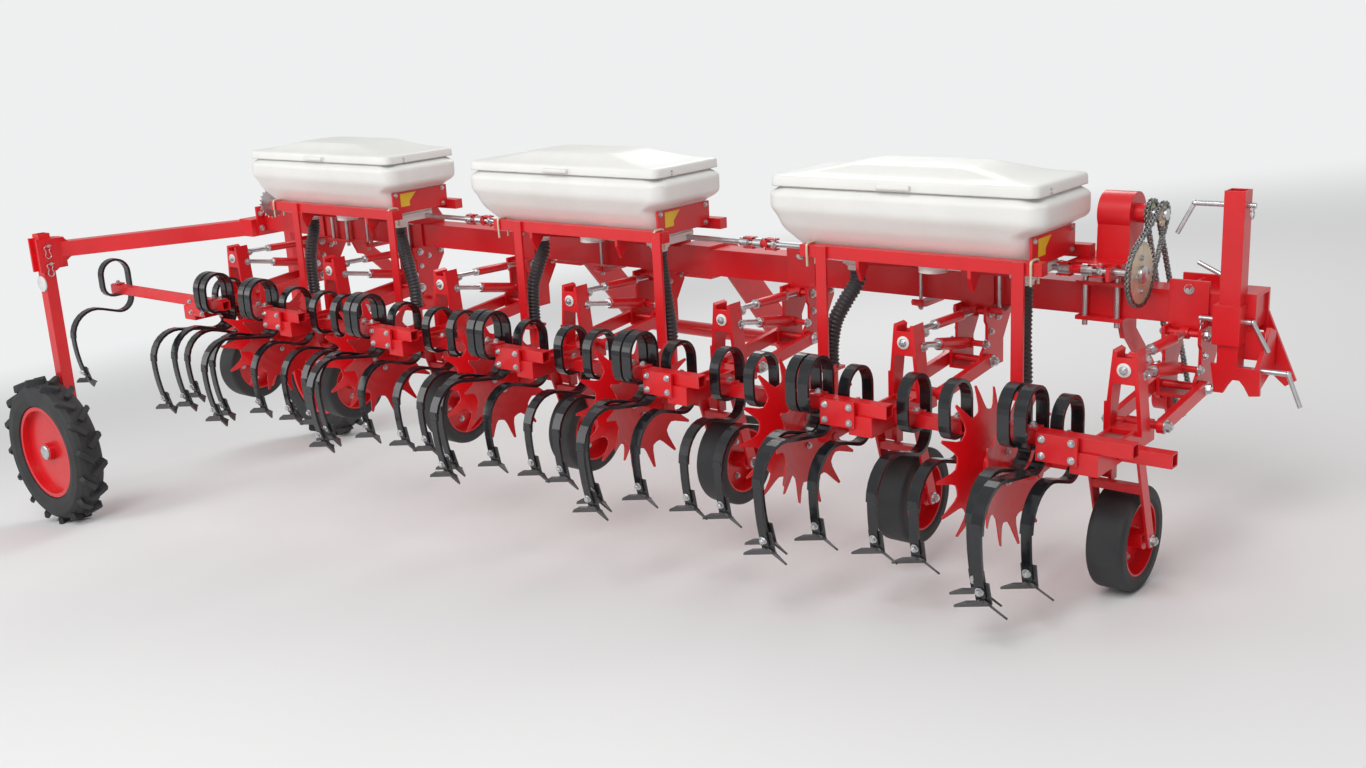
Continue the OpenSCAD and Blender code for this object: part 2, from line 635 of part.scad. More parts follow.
// ---- Drive from the land wheel's hub up to the metering shaft ----
top_shaft = [24, 1000];
gear_x = 1830;
drive_hub = [350, 330];
chain_x = 1926;
ring_x = 1962;
clamp_x = [-1925, 1810];
module gearbox() color("red") {
  difference() {
    union() {
      slab_x(gear_x, 104) {
        polygon([[-40, 857], [64, 857], [top_shaft[0] + 56, top_shaft[1] + 6],
          [top_shaft[0] - 56, top_shaft[1] + 6]]);
        translate(top_shaft) circle(r = 66, $fn = 64);
      }
      pin_x(gear_x + 65, top_shaft[0], top_shaft[1], 30, 36);
    }
    pin_x(gear_x, top_shaft[0], top_shaft[1], shaft_r + seat_gap, 180);
  }
  box([1716, -110, 850], [gear_x + 60, 84, 862]);
  slab_x(gear_x, 60) polygon([[-40, 797], [40, 797], [40, 850], [-40, 850]]);
  // bearing ear for the metering shaft
  difference() {
    slab_x(gear_x + 45, 12) polygon([[-100, 862], [-180, 862], [-180, 820], [-110, 820],
      [-100, 850], [-60, 850], [-60, 862]]);
    pin_x(gear_x + 45, shaft_y, shaft_z, shaft_r + seat_gap, 20);
  }
}
module sprocket_2d(r, teeth) difference() {
  step = 360 / teeth;
  polygon([for (k = [0 : teeth - 1], q = [[-0.22, r - 5], [-0.1, r + 3], [0.1, r + 3],
    [0.22, r - 5]]) q[1] * [cos((k + q[0]) * step), sin((k + q[0]) * step)]]);
  circle(r = shaft_r + seat_gap, $fn = 48);
}
// Chain drawn as a thin loop round two sprockets.
module chain_loop(x, a, ra, b, rb, w) {
  d = norm(b - a);
  ang = atan2(b[1] - a[1], b[0] - a[0]);
  tilt = asin((ra - rb) / d);
  for (s = sides) slab_x(x, w) polygon([
    a + (ra - 3) * [cos(ang + s * (90 - tilt)), sin(ang + s * (90 - tilt))],
    a + (ra + 4) * [cos(ang + s * (90 - tilt)), sin(ang + s * (90 - tilt))],
    b + (rb + 4) * [cos(ang + s * (90 - tilt)), sin(ang + s * (90 - tilt))],
    b + (rb - 3) * [cos(ang + s * (90 - tilt)), sin(ang + s * (90 - tilt))]]);
  for (q = [[a, ra], [b, rb]]) slab_x(x, w) translate(q[0]) difference() {
    circle(r = q[1] + 5, $fn = 64);
    circle(r = q[1] - 4, $fn = 64);
  }
}
module place_sprocket(x, p, r, teeth) translate([0, p[0], p[1]]) slab_x(x, 6)
  sprocket_2d(r, teeth);
ring_r = 95;
pinion_r = 34;
module chain_drive() color("gray") {
  place_sprocket(ring_x, [shaft_y, shaft_z], ring_r, 30);
  place_sprocket(ring_x, top_shaft, pinion_r, 11);
  place_sprocket(chain_x, top_shaft, pinion_r + 6, 13);
  place_sprocket(chain_x, drive_hub, 56, 18);
  chain_loop(ring_x, [shaft_y, shaft_z], ring_r, top_shaft, pinion_r, 12);
  chain_loop(chain_x, top_shaft, pinion_r + 6, drive_hub, 56, 12);
}
shaft_left = -2340;
module drive_shafts() color("silver") {
  pin_x((shaft_left + 1975) / 2, shaft_y, shaft_z, shaft_r, 1975 - shaft_left);
  pin_x((gear_x + 1975) / 2, top_shaft[0], top_shaft[1], shaft_r, 1975 - gear_x);
  // universal joints and couplings
  for (x = [1726, 1800]) pin_x(x, shaft_y, shaft_z, 19, 36);
  for (x = [-940, -880, 500, 560]) pin_x(x, shaft_y, shaft_z, 18, 34);
  translate([0, shaft_y, shaft_z]) slab_x(shaft_left + 20, 6) sprocket_2d(70, 22);
}

// ---- Arms that carry the land wheel hubs ----
module drive_arm(x) {
  box([x - 78, -84, beam_top], [x + 78, 84, beam_top + 12]);
  box([x - 78, -84, beam_bottom - 12], [x + 78, 84, beam_bottom]);
  for (s = sides, t = sides) pin_z(x + s * 52, t * 68, beam_bottom - 30, 8, beam_size + 60);
  slab_x(x + 52, 16) polygon([[-50, beam_bottom - 12], [70, beam_bottom - 12], [70, 620],
    [20, 600], [-20, 610]]);
  slab_x(x + 52, 16) bar_2d([25, 630], drive_hub, 60);
  pin_x(x + 62, drive_hub[0], drive_hub[1], 44, 72);
  pin_x(x + 80, drive_hub[0], drive_hub[1], 62, 10);
  pin_x(x + 108, drive_hub[0], drive_hub[1], shaft_r, 40);
}
module drive_arms() color("red") for (x = clamp_x) drive_arm(x);

// ---- Transport set at the beam's left end ----
arm_root = [-2600, 62, 702];
arm_size = 76;
knee = [transport_x, leg_track, 628];
module transport_arm(s) {
  a = [arm_root[0], s * arm_root[1], arm_root[2]];
  b = [knee[0], s * (knee[1] - leg_tube / 2 - 58), knee[2]];
  d = b - a;
  translate(a) rotate([0, -asin(d[2] / norm(d)), atan2(d[1], d[0])])
    box([0, -arm_size / 2, -arm_size / 2], [norm(d), arm_size / 2, arm_size / 2]);
  for (t = sides) difference() {
    slab_x(knee[0] + t * (leg_tube / 2 + 6), 12) polygon([[s * 620, 660], [s * 650, 690],
      [s * (leg_track + 50), 700], [s * (leg_track + 50), 530], [s * (leg_track - 30), 530],
      [s * 620, 590]]);
    for (z = [570, 660]) pin_x(knee[0], s * leg_track, z, lock_pin_r + seat_gap, 200);
  }
  box([knee[0] - leg_tube / 2, min(s * 640, s * (leg_track - 30)), 540],
    [knee[0] + leg_tube / 2, max(s * 640, s * (leg_track - 30)), 690]);
}
module transport_arms() color("red") {
  box([beam_left - 12, -90, beam_bottom - 20], [beam_left, 90, beam_top + 20]);
  box([beam_left - 110, -120, arm_root[2] - 42], [beam_left - 12, 120, arm_root[2] + 42]);
  for (s = sides) transport_arm(s);
}
leg_top = 720;
module transport_leg(s) {
  difference() {
    box([transport_x - leg_tube / 2, s * leg_track - leg_tube / 2, hub_height - 45],
      [transport_x + leg_tube / 2, s * leg_track + leg_tube / 2, leg_top]);
    box([transport_x - leg_tube / 2 + 5, s * leg_track - leg_tube / 2 + 5, hub_height + 60],
      [transport_x + leg_tube / 2 - 5, s * leg_track + leg_tube / 2 - 5, leg_top + 1]);
    for (z = [570, 660]) pin_x(knee[0], s * leg_track, z, lock_pin_r + seat_gap, 200);
  }
  pin_y(transport_x, s * (leg_track + leg_tube / 2 + 64), hub_height, tyre_axle_r, 128);
  pin_y(transport_x, s * (leg_track + leg_tube / 2 + 2), hub_height, 34, 4);
}
module transport_legs() color("red") for (s = sides) transport_leg(s);

// ---- Tow post at the right end ----
post_x = 2218;
post_z = 570;
post_y = -beam_half - 2 - post_size / 2;
post_front = post_y - post_size / 2;
// Heights of the pins along X, from the foot up.
pin_z = [575, 716, 1057];
handle_end = [post_x + 205, 480];
module tow_post() color("red") {
  difference() {
    union() {
      box([post_x - post_size / 2, post_front, post_z], [post_x + post_size / 2,
        post_front + post_size, post_z + post_len]);
      box([post_x - 44, post_front - 12, 650], [post_x + 36, -beam_half, 768]);
      box([post_x - 44, -beam_half - 12, beam_bottom - 20], [post_x + 60, -beam_half,
        beam_top + 8]);
      box([post_x - 44, -62, beam_top], [post_x + 60, 62, beam_top + 10]);
      box([post_x - 44, beam_half, beam_bottom - 20], [post_x + 60, beam_half + 12,
        beam_top + 10]);
      // foot plate with its arch, and the cheek behind it
      slab_y(post_front, 12) polygon([[post_x - 48, 590], [post_x + 96, 582],
        [post_x + 98, 506], [post_x + 68, 502], [post_x + 52, 530], [post_x + 38, 546],
        [post_x + 18, 546], [post_x + 4, 526], [post_x - 8, 503], [post_x - 34, 503]]);
      slab_x(post_x + 84, 12) polygon([[post_front + 4, 508], [40, 560], [40, 670],
        [-14, 690], [-50, 640], [post_front + 4, 583]]);
      box([post_x - 26, -64, 600], [post_x + 90, -52, beam_bottom]);
      slab_y(52, 12) polygon([[post_x + 50, beam_bottom], [post_x + 50, 560],
        [post_x + 120, 500], [post_x + 150, 520], [post_x + 60, beam_bottom + 40]]);
    }
    for (z = pin_z) pin_x(post_x + 20, post_y, z, lock_pin_r + seat_gap, 160);
    box([post_x - post_size / 2 + 5, post_front + 5, post_z - 1],
      [post_x + post_size / 2 - 5, post_front + post_size - 5, post_z + post_len + 1]);
  }
}
// Cranked pin along X at (y, z): a shank from x0 to x1, and a handle on to its end.
module cranked_pin(x0, x1, y, z, end) {
  pin_x((x0 + x1) / 2, y, z, lock_pin_r, abs(x1 - x0));
  hose_path([[x1, y, z], end], lock_pin_r - 1);
  translate([x1, y, z]) sphere(r = lock_pin_r + 1, $fn = 48);
}
module lock_pins() color("silver") {
  cranked_pin(post_x + 52, post_x - 124, post_y, pin_z[2], [post_x - 172, post_y, 965]);
  cranked_pin(post_x - 96, post_x + 60, post_y, pin_z[1], [post_x + 108, post_y, 632]);
  cranked_pin(post_x + 38, post_x + 166, post_y, pin_z[0], [handle_end[0], post_y,
    handle_end[1]]);
  hose_path([[post_x - 43, -54, beam_top + 10 + run_gap], [post_x - 43, -54, beam_top + 58],
    [post_x - 116, -54, beam_top + 92]], lock_pin_r - 1);
  for (s = sides, z = [570, 660]) pin_x(transport_x, s * leg_track, z, lock_pin_r, 120);
}

// ---- Gauge wheels, axis along Z here ----
module gauge_tyre() rotate_extrude($fn = 96) polygon(concat([[gauge_rim_r, -gauge_w / 2 + 6],
  [gauge_rim_r + 10, -gauge_w / 2]],
  arc_pts([gauge_r - gauge_shoulder, -gauge_w / 2 + gauge_shoulder], gauge_shoulder, -90, 0, 4),
  arc_pts([gauge_r - gauge_shoulder, gauge_w / 2 - gauge_shoulder], gauge_shoulder, 0, 90, 4),
  [[gauge_rim_r + 10, gauge_w / 2], [gauge_rim_r, gauge_w / 2 - 6]]));
gauge_hub = 60;
module gauge_rim() rotate_extrude($fn = 96) {
  translate([gauge_axle_r + run_gap, -gauge_hub]) square([18, 2 * gauge_hub]);
  translate([gauge_axle_r + run_gap + 8, -4]) square([gauge_rim_r - gauge_axle_r - 12, 8]);
  translate([gauge_rim_r - 6, -gauge_w / 2 + 6]) square([6, gauge_w - 12]);
}
module place_gauge(i) at_section(i) translate([0, gauge_axle[0], gauge_axle[1]])
  rotate([0, 90, 0]) children();

// ---- Transport wheels, axis along Z here, chevron lugs on both sides ----
carcass_r = tyre_r - lug_h;
module lug(s) rotate([0, 0, 0]) translate([carcass_r - 14, 0, 0]) rotate([s * 42, 0, 0])
  translate([0, -13, -4]) cube([lug_h + 30, 26, 94]);
module transport_tyre() {
  rotate_extrude($fn = 96) polygon([[tyre_rim_r, -50], [tyre_rim_r + 17, -50],
    [tyre_rim_r + 19, -62], [285, -74], [325, -73], [carcass_r - 10, -58], [carcass_r, -36],
    [carcass_r, 36], [carcass_r - 10, 58], [325, 73], [285, 74], [tyre_rim_r + 19, 62],
    [tyre_rim_r + 17, 50], [tyre_rim_r, 50]]);
  intersection() {
    union() for (k = [0 : lug_count - 1]) {
      rotate([0, 0, k * 360 / lug_count]) lug(1);
      rotate([0, 0, (k + 0.5) * 360 / lug_count]) mirror([0, 0, 1]) lug(1);
    }
    rotate_extrude($fn = 96) polygon([[carcass_r - 34, -70], [carcass_r - 8, -tyre_w / 2],
      [tyre_r, -tyre_w / 2 + 8], [tyre_r, tyre_w / 2 - 8], [carcass_r - 8, tyre_w / 2],
      [carcass_r - 34, 70]]);
  }
}
module transport_rim() rotate_extrude($fn = 96) {
  translate([tyre_axle_r + run_gap, -60]) square([30, 112]);
  translate([tyre_axle_r + run_gap + 10, 14]) square([tyre_rim_r - tyre_axle_r - 14, 8]);
  translate([tyre_rim_r - 6, -50]) square([6, 100]);
  for (s = sides) translate([tyre_rim_r - 6, s * 53 - 3]) square([20, 6]);
}
module place_tyre(s) translate([transport_x, s * (leg_track + 112), hub_height])
  rotate([s * 90, 0, 0]) mirror([0, 0, 1]) rotate([0, 0, 90]) children();

// ---- The whole machine, leaned as it parks and centred on the origin ----
function lean_x(x, z) = x * cos(park_lean) + z * sin(park_lean);
mid_x = (lean_x(transport_x, hub_height) - tyre_r
  + lean_x(handle_end[0] + 0.91 * (lock_pin_r - 1), handle_end[1] + 3)) / 2;
mid_y = (leg_track + 112 + tyre_w / 2 + rear_bar_y + heel_y - long_reach - heel_r
  - tine_t / 2) / 2;
module parked() translate([-mid_x, -mid_y, park_lift]) rotate([0, park_lean, 0]) children();

parked() main_beam();
parked() headstock();
parked() lower_hitch_bar();
parked() section_brackets();
parked() upper_links();
parked() spring_struts();
parked() lower_links();
parked() section_frames();
parked() gauge_forks();
parked() tool_bars();
parked() rear_tines();
parked() front_tines();
parked() rear_shares();
parked() front_shares();
parked() disc_arms();
parked() hopper_with_fittings(-1);  // hopper_left
parked() hopper_with_fittings(0);  // hopper_middle
parked() hopper_with_fittings(1);  // hopper_right
parked() lid(-1);  // lid_left
parked() lid(0);  // lid_middle
parked() lid(1);  // lid_right
parked() hopper_rails();
parked() hoses();
parked() hose_uprights();
parked() gearbox();
parked() chain_drive();
parked() drive_shafts();
parked() drive_arms();
parked() transport_arms();
parked() transport_legs();
parked() tow_post();
parked() lock_pins();
parked() color("black") place_gauge(0)  // gauge_tyre_1
  gauge_tyre();
parked() color("black") place_gauge(1)  // gauge_tyre_2
  gauge_tyre();
parked() color("black") place_gauge(2)  // gauge_tyre_3
  gauge_tyre();
parked() color("black") place_gauge(3)  // gauge_tyre_4
  gauge_tyre();
parked() color("black") place_gauge(4)  // gauge_tyre_5
  gauge_tyre();
parked() color("black") place_gauge(5)  // gauge_tyre_6
  gauge_tyre();
parked() color("black") place_gauge(6)  // gauge_tyre_7
  gauge_tyre();
parked() color("red") place_gauge(0)  // gauge_rim_1
  gauge_rim();
parked() color("red") place_gauge(1)  // gauge_rim_2
  gauge_rim();
parked() color("red") place_gauge(2)  // gauge_rim_3
  gauge_rim();
parked() color("red") place_gauge(3)  // gauge_rim_4
  gauge_rim();
parked() color("red") place_gauge(4)  // gauge_rim_5
  gauge_rim();
parked() color("red") place_gauge(5)  // gauge_rim_6
  gauge_rim();
parked() color("red") place_gauge(6)  // gauge_rim_7
  gauge_rim();
parked() color("black") place_tyre(-1)  // tyre_rear
  transport_tyre();
parked() color("red") place_tyre(-1)  // rim_rear
  transport_rim();
parked() color("black") place_tyre(1)  // tyre_front
  transport_tyre();
parked() color("red") place_tyre(1)  // rim_front
  transport_rim();
parked() place_star(1) star_pair();  // star_pair_1
parked() place_star(2) star_pair();  // star_pair_2
parked() place_star(3) star_pair();  // star_pair_3
parked() place_star(4) star_pair();  // star_pair_4
parked() place_star(5) star_pair();  // star_pair_5
parked() place_star(6) star_pair();  // star_pair_6
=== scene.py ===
"""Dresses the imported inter-row cultivator: finishes, fastenings, hoppers, hoses and chains."""

import json
import logging
import math
from dataclasses import dataclass, field
from enum import Enum

import bmesh
import bpy
from mathutils import Matrix, Vector


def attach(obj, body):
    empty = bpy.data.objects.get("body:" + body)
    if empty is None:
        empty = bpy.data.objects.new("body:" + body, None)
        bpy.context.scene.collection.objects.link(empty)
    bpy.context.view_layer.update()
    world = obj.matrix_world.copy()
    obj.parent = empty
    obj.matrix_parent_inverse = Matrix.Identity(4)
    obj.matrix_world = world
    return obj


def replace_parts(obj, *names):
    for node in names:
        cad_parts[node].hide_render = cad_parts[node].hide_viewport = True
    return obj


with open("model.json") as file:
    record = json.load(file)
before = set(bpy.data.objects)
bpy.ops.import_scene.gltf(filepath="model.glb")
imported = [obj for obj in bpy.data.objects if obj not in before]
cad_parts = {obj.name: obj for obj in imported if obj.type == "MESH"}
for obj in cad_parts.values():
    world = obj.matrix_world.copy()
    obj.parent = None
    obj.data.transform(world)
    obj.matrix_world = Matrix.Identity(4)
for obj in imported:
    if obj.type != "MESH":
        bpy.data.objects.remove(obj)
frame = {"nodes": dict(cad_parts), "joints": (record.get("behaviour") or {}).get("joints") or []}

log = logging.getLogger("cultivator")

Point = tuple[float, float, float]
Flat = tuple[float, float]
Socket = bpy.types.NodeSocket
Node = bpy.types.Node
Thing = bpy.types.Object
ROOT = "machine"


# Layout


@dataclass(frozen=True)
class Layout:
    """Places of the level machine, in metres: X to its right, Y forward, Z up."""

    pitch: float = 0.700
    first: float = -2.120
    count: int = 7
    gauge_axle: Flat = (-0.495, 0.155)
    hopper_mid: float = -0.190
    hopper_pitch: float = 1.450
    beam_left: float = -2.540
    beam_low: float = 0.685
    beam_half: float = 0.050
    meter_offsets: Flat = (-0.210, 0.390)
    funnel_mouth: Flat = (-0.270, 0.812)
    meter_shaft: Flat = (-0.145, 0.845)

    def section(self, i: int) -> float:
        """X of section i's middle, counted from 0 at the left."""
        return self.first + i * self.pitch

    def sections(self) -> list[float]:
        """X of every section's middle."""
        return [self.section(i) for i in range(self.count)]

    def hopper(self, k: int) -> float:
        """X of hopper k's middle, with k from -1 to 1."""
        return self.hopper_mid + k * self.hopper_pitch

    def lean(self) -> Matrix:
        """Turns level places into those of the parked machine.

        Returns:
            The matrix, worked out from the first gauge wheel's joint in the record.
        """
        joint = next(j for j in frame["joints"] if j["child"] == "gauge_wheel_1")
        along = Vector(joint["axis"]).normalized()
        forward = Vector((0.0, 1.0, 0.0))
        turn = Matrix((along, forward, along.cross(forward))).transposed()
        at = Vector(joint["pos_m"]) - turn @ Vector((self.first, *self.gauge_axle))
        return Matrix.Translation(at) @ turn.to_4x4()


LAYOUT = Layout()
LEAN = LAYOUT.lean()


def show(thing: Thing) -> None:
    """Puts an object into the scene."""
    bpy.context.scene.collection.objects.link(thing)


# Finishes


class Graph:
    """A thin helper that adds nodes to a node tree and joins their sockets."""

    def __init__(self, tree: bpy.types.NodeTree) -> None:
        """Keeps the tree that later calls add to."""
        self.tree = tree

    def add(self, kind: str, values: dict | None = None, **settings: object) -> Node:
        """Adds a node.

        Args:
            kind: Blender's name of the node's type.
            values: Numbers, colours or vectors for its input sockets, by name or index.
            **settings: The node's own settings.

        Returns:
            The new node.
        """
        node = self.tree.nodes.new(kind)
        for name, value in settings.items():
            setattr(node, name, value)
        for name, value in (values or {}).items():
            node.inputs[name].default_value = value
        return node

    def link(self, source: Socket, target: Socket) -> None:
        """Joins an output socket to an input socket."""
        self.tree.links.new(source, target)

    def feed(self, slot: Socket, value: object) -> None:
        """Sets an input socket to a number, or links it to an output socket."""
        if isinstance(value, (int, float)):
            slot.default_value = value
        else:
            self.link(value, slot)

    def noise(self, where: Socket, scale: float, detail: float,
              roughness: float = 0.5) -> Socket:
        """Adds a noise texture over a place and returns its height."""
        node = self.add("ShaderNodeTexNoise", {"Scale": scale, "Detail": detail,
                                               "Roughness": roughness})
        self.link(where, node.inputs["Vector"])
        return node.outputs["Fac"]

    def remap(self, source: Socket, values: dict, **settings: object
              ) -> Socket:
        """Adds a Map Range node after a socket and returns its result."""
        node = self.add("ShaderNodeMapRange", values, **settings)
        self.link(source, node.inputs["Value"])
        return node.outputs["Result"]

    def blend(self, factor: Socket, first: Node,
              second: Node, kind: str) -> None:
        """Mixes two shaders by a factor into a new output node of the given type."""
        mix = self.add("ShaderNodeMixShader")
        for slot, source in enumerate((factor, first.outputs[0], second.outputs[0])):
            self.link(source, mix.inputs[slot])
        self.link(mix.outputs[0], self.add(kind).inputs["Surface"])


@dataclass(frozen=True)
class Finish:
    """How one kind of surface looks: colour, gloss, mottling, grain and a painted highlight on
    sharp edges.
    """

    name: str
    colour: Point
    shade: Point
    roughness: float
    slot: str
    metallic: float = 0.0
    coat: float = 0.0
    coat_roughness: float = 0.1
    mottle_scale: float = 3.0
    rough_spread: float = 0.08
    grain_scale: float = 260.0
    grain_depth: float = 0.0004
    # Painted highlight: the colour and strength of a lighter tint on sharp edges.
    edge_highlight_colour: Point | None = None
    edge_radius: float = 0.003
    edge_highlight_amount: float = 0.5
    stretch: Point = (1.0, 1.0, 1.0)

    def build(self) -> bpy.types.Material:
        """Builds the material once and gives it back on every later call.

        Returns:
            The material.
        """
        made = bpy.data.materials.get(self.name)
        if made:
            return made
        made = bpy.data.materials.new(self.name)
        made.use_nodes = True
        made.node_tree.nodes.clear()
        graph = Graph(made.node_tree)
        shader = graph.add("ShaderNodeBsdfPrincipled", {
            "Metallic": self.metallic, "Coat Weight": self.coat,
            "Coat Roughness": self.coat_roughness})
        out = graph.add("ShaderNodeOutputMaterial")
        graph.link(shader.outputs["BSDF"], out.inputs["Surface"])
        place = graph.add("ShaderNodeTexCoord")
        spread = graph.add("ShaderNodeMapping", {"Scale": self.stretch})
        graph.link(place.outputs["Object"], spread.inputs["Vector"])
        where = spread.outputs["Vector"]
        self._colour(graph, shader, where)
        self._roughness(graph, shader, where)
        self._relief(graph, shader, where)
        return made

    def _colour(self, graph: Graph, shader: Node, where: Socket) -> None:
        """Mixes the colour with its shade over soft patches, and paints a lighter highlight on
        sharp edges.
        """
        soften = graph.remap(graph.noise(where, self.mottle_scale, 5.0, 0.62),
                             {"From Min": 0.38, "From Max": 0.68})
        mix = graph.add("ShaderNodeMix", data_type="RGBA")
        mix.inputs[6].default_value = (*self.colour, 1.0)
        mix.inputs[7].default_value = (*self.shade, 1.0)
        graph.link(soften, mix.inputs["Factor"])
        colour = mix.outputs[2]
        # Painted highlight: a lighter colour mixed in on sharp edges.
        if self.edge_highlight_colour:
            painted_highlight = graph.add("ShaderNodeMix", data_type="RGBA")
            painted_highlight.inputs[7].default_value = (*self.edge_highlight_colour, 1.0)
            graph.link(self._edge_highlight_mask(graph, where), painted_highlight.inputs["Factor"])
            graph.link(colour, painted_highlight.inputs[6])
            colour = painted_highlight.outputs[2]
        graph.link(colour, shader.inputs["Base Color"])

    def _edge_highlight_mask(self, graph: Graph, where: Socket) -> Socket:
        """A mask for the painted highlight, bright where the surface turns sharply and broken up
        by noise.

        Args:
            graph: The material's nodes.
            where: The place on the surface.

        Returns:
            The mask's socket.
        """
        rounded = graph.add("ShaderNodeBevel", {"Radius": self.edge_radius}, samples=4)
        plain = graph.add("ShaderNodeNewGeometry")
        along = graph.add("ShaderNodeVectorMath", operation="DOT_PRODUCT")
        graph.link(rounded.outputs["Normal"], along.inputs[0])
        graph.link(plain.outputs["Normal"], along.inputs[1])
        times = graph.add("ShaderNodeMath", operation="MULTIPLY")
        graph.link(graph.remap(along.outputs["Value"], {
            "From Min": 0.985, "From Max": 0.86, "To Max": self.edge_highlight_amount}), times.inputs[0])
        graph.link(graph.remap(graph.noise(where, 22.0, 4.0),
                               {"From Min": 0.3, "From Max": 0.6}), times.inputs[1])
        return times.outputs[0]

    def _roughness(self, graph: Graph, shader: Node,
                   where: Socket) -> None:
        """Spreads the gloss a little, as handling and dust do."""
        graph.link(graph.remap(graph.noise(where, self.mottle_scale * 4, 3.0), {
            "To Min": max(self.roughness - self.rough_spread, 0.02),
            "To Max": self.roughness + self.rough_spread}), shader.inputs["Roughness"])

    def _relief(self, graph: Graph, shader: Node,
                where: Socket) -> None:
        """Adds the fine grain, on edges rounded as paint and wear round them."""
        bump = graph.add("ShaderNodeBump", {"Strength": 0.6, "Distance": self.grain_depth})
        graph.link(graph.noise(where, self.grain_scale, 2.0), bump.inputs["Height"])
        rounded = graph.add("ShaderNodeBevel", {"Radius": self.edge_radius}, samples=4)
        graph.link(rounded.outputs["Normal"], bump.inputs["Normal"])
        graph.link(bump.outputs["Normal"], shader.inputs["Normal"])


class Coat(Enum):
    """Every finish on the machine."""

    # The edge colour of RED, SPRING and SHARE is a painted highlight on their sharp edges.
    RED = Finish("red_gloss_paint", (0.74, 0.007, 0.013), (0.62, 0.005, 0.010), 0.34,
                 "red_paint", coat=0.25, coat_roughness=0.14, mottle_scale=2.4,
                 grain_scale=420.0, grain_depth=0.0003, edge_highlight_colour=(0.82, 0.05, 0.05),
                 edge_highlight_amount=0.35)
    SPRING = Finish("black_spring_paint", (0.007, 0.008, 0.010), (0.011, 0.012, 0.015), 0.20,
                    "spring_steel", coat=0.3, mottle_scale=6.0, rough_spread=0.04,
                    edge_highlight_colour=(0.16, 0.18, 0.21), edge_highlight_amount=0.5, edge_radius=0.0015)
    SHARE = Finish("share_steel_paint", (0.050, 0.050, 0.055), (0.085, 0.083, 0.085), 0.42,
                   "share_steel", metallic=0.35, mottle_scale=9.0,
                   edge_highlight_colour=(0.30, 0.30, 0.31), edge_highlight_amount=0.6, edge_radius=0.002)
    WHITE = Finish("moulded_white", (0.83, 0.83, 0.80), (0.78, 0.78, 0.745), 0.38,
                   "white_plastic", mottle_scale=3.5, grain_scale=700.0, grain_depth=0.0002,
                   edge_radius=0.004)
    TYRE = Finish("tyre_rubber", (0.018, 0.019, 0.021), (0.036, 0.037, 0.039), 0.62, "tyre",
                  mottle_scale=7.0, grain_scale=380.0, grain_depth=0.0008, edge_radius=0.004)
    HOSE = Finish("hose_plastic", (0.014, 0.014, 0.016), (0.030, 0.030, 0.033), 0.40,
                  "hose_plastic", mottle_scale=9.0, edge_radius=0.001)
    CHAIN = Finish("oiled_chain", (0.30, 0.30, 0.30), (0.13, 0.13, 0.13), 0.34,
                   "chain_steel", metallic=0.85, mottle_scale=42.0, edge_radius=0.001)
    ZINC = Finish("zinc_plate", (0.66, 0.67, 0.68), (0.52, 0.53, 0.54), 0.30, "zinc_steel",
                  metallic=0.95, mottle_scale=24.0, edge_radius=0.001)
    GOLD = Finish("yellow_zinc", (0.72, 0.64, 0.47), (0.60, 0.52, 0.38), 0.40, "zinc_steel",
                  metallic=0.45, mottle_scale=16.0, edge_radius=0.001)
    PLATE = Finish("blank_yellow_plate", (0.88, 0.60, 0.02), (0.80, 0.52, 0.02), 0.42,
                   "red_paint", mottle_scale=9.0, edge_radius=0.0005)
    GLASS = Finish("pale_reflector", (0.74, 0.74, 0.72), (0.66, 0.66, 0.66), 0.18,
                   "zinc_steel", coat=0.6, mottle_scale=14.0, grain_scale=900.0)

    def material(self) -> bpy.types.Material:
        """The finish's material."""
        return self.value.build()


# Shapes


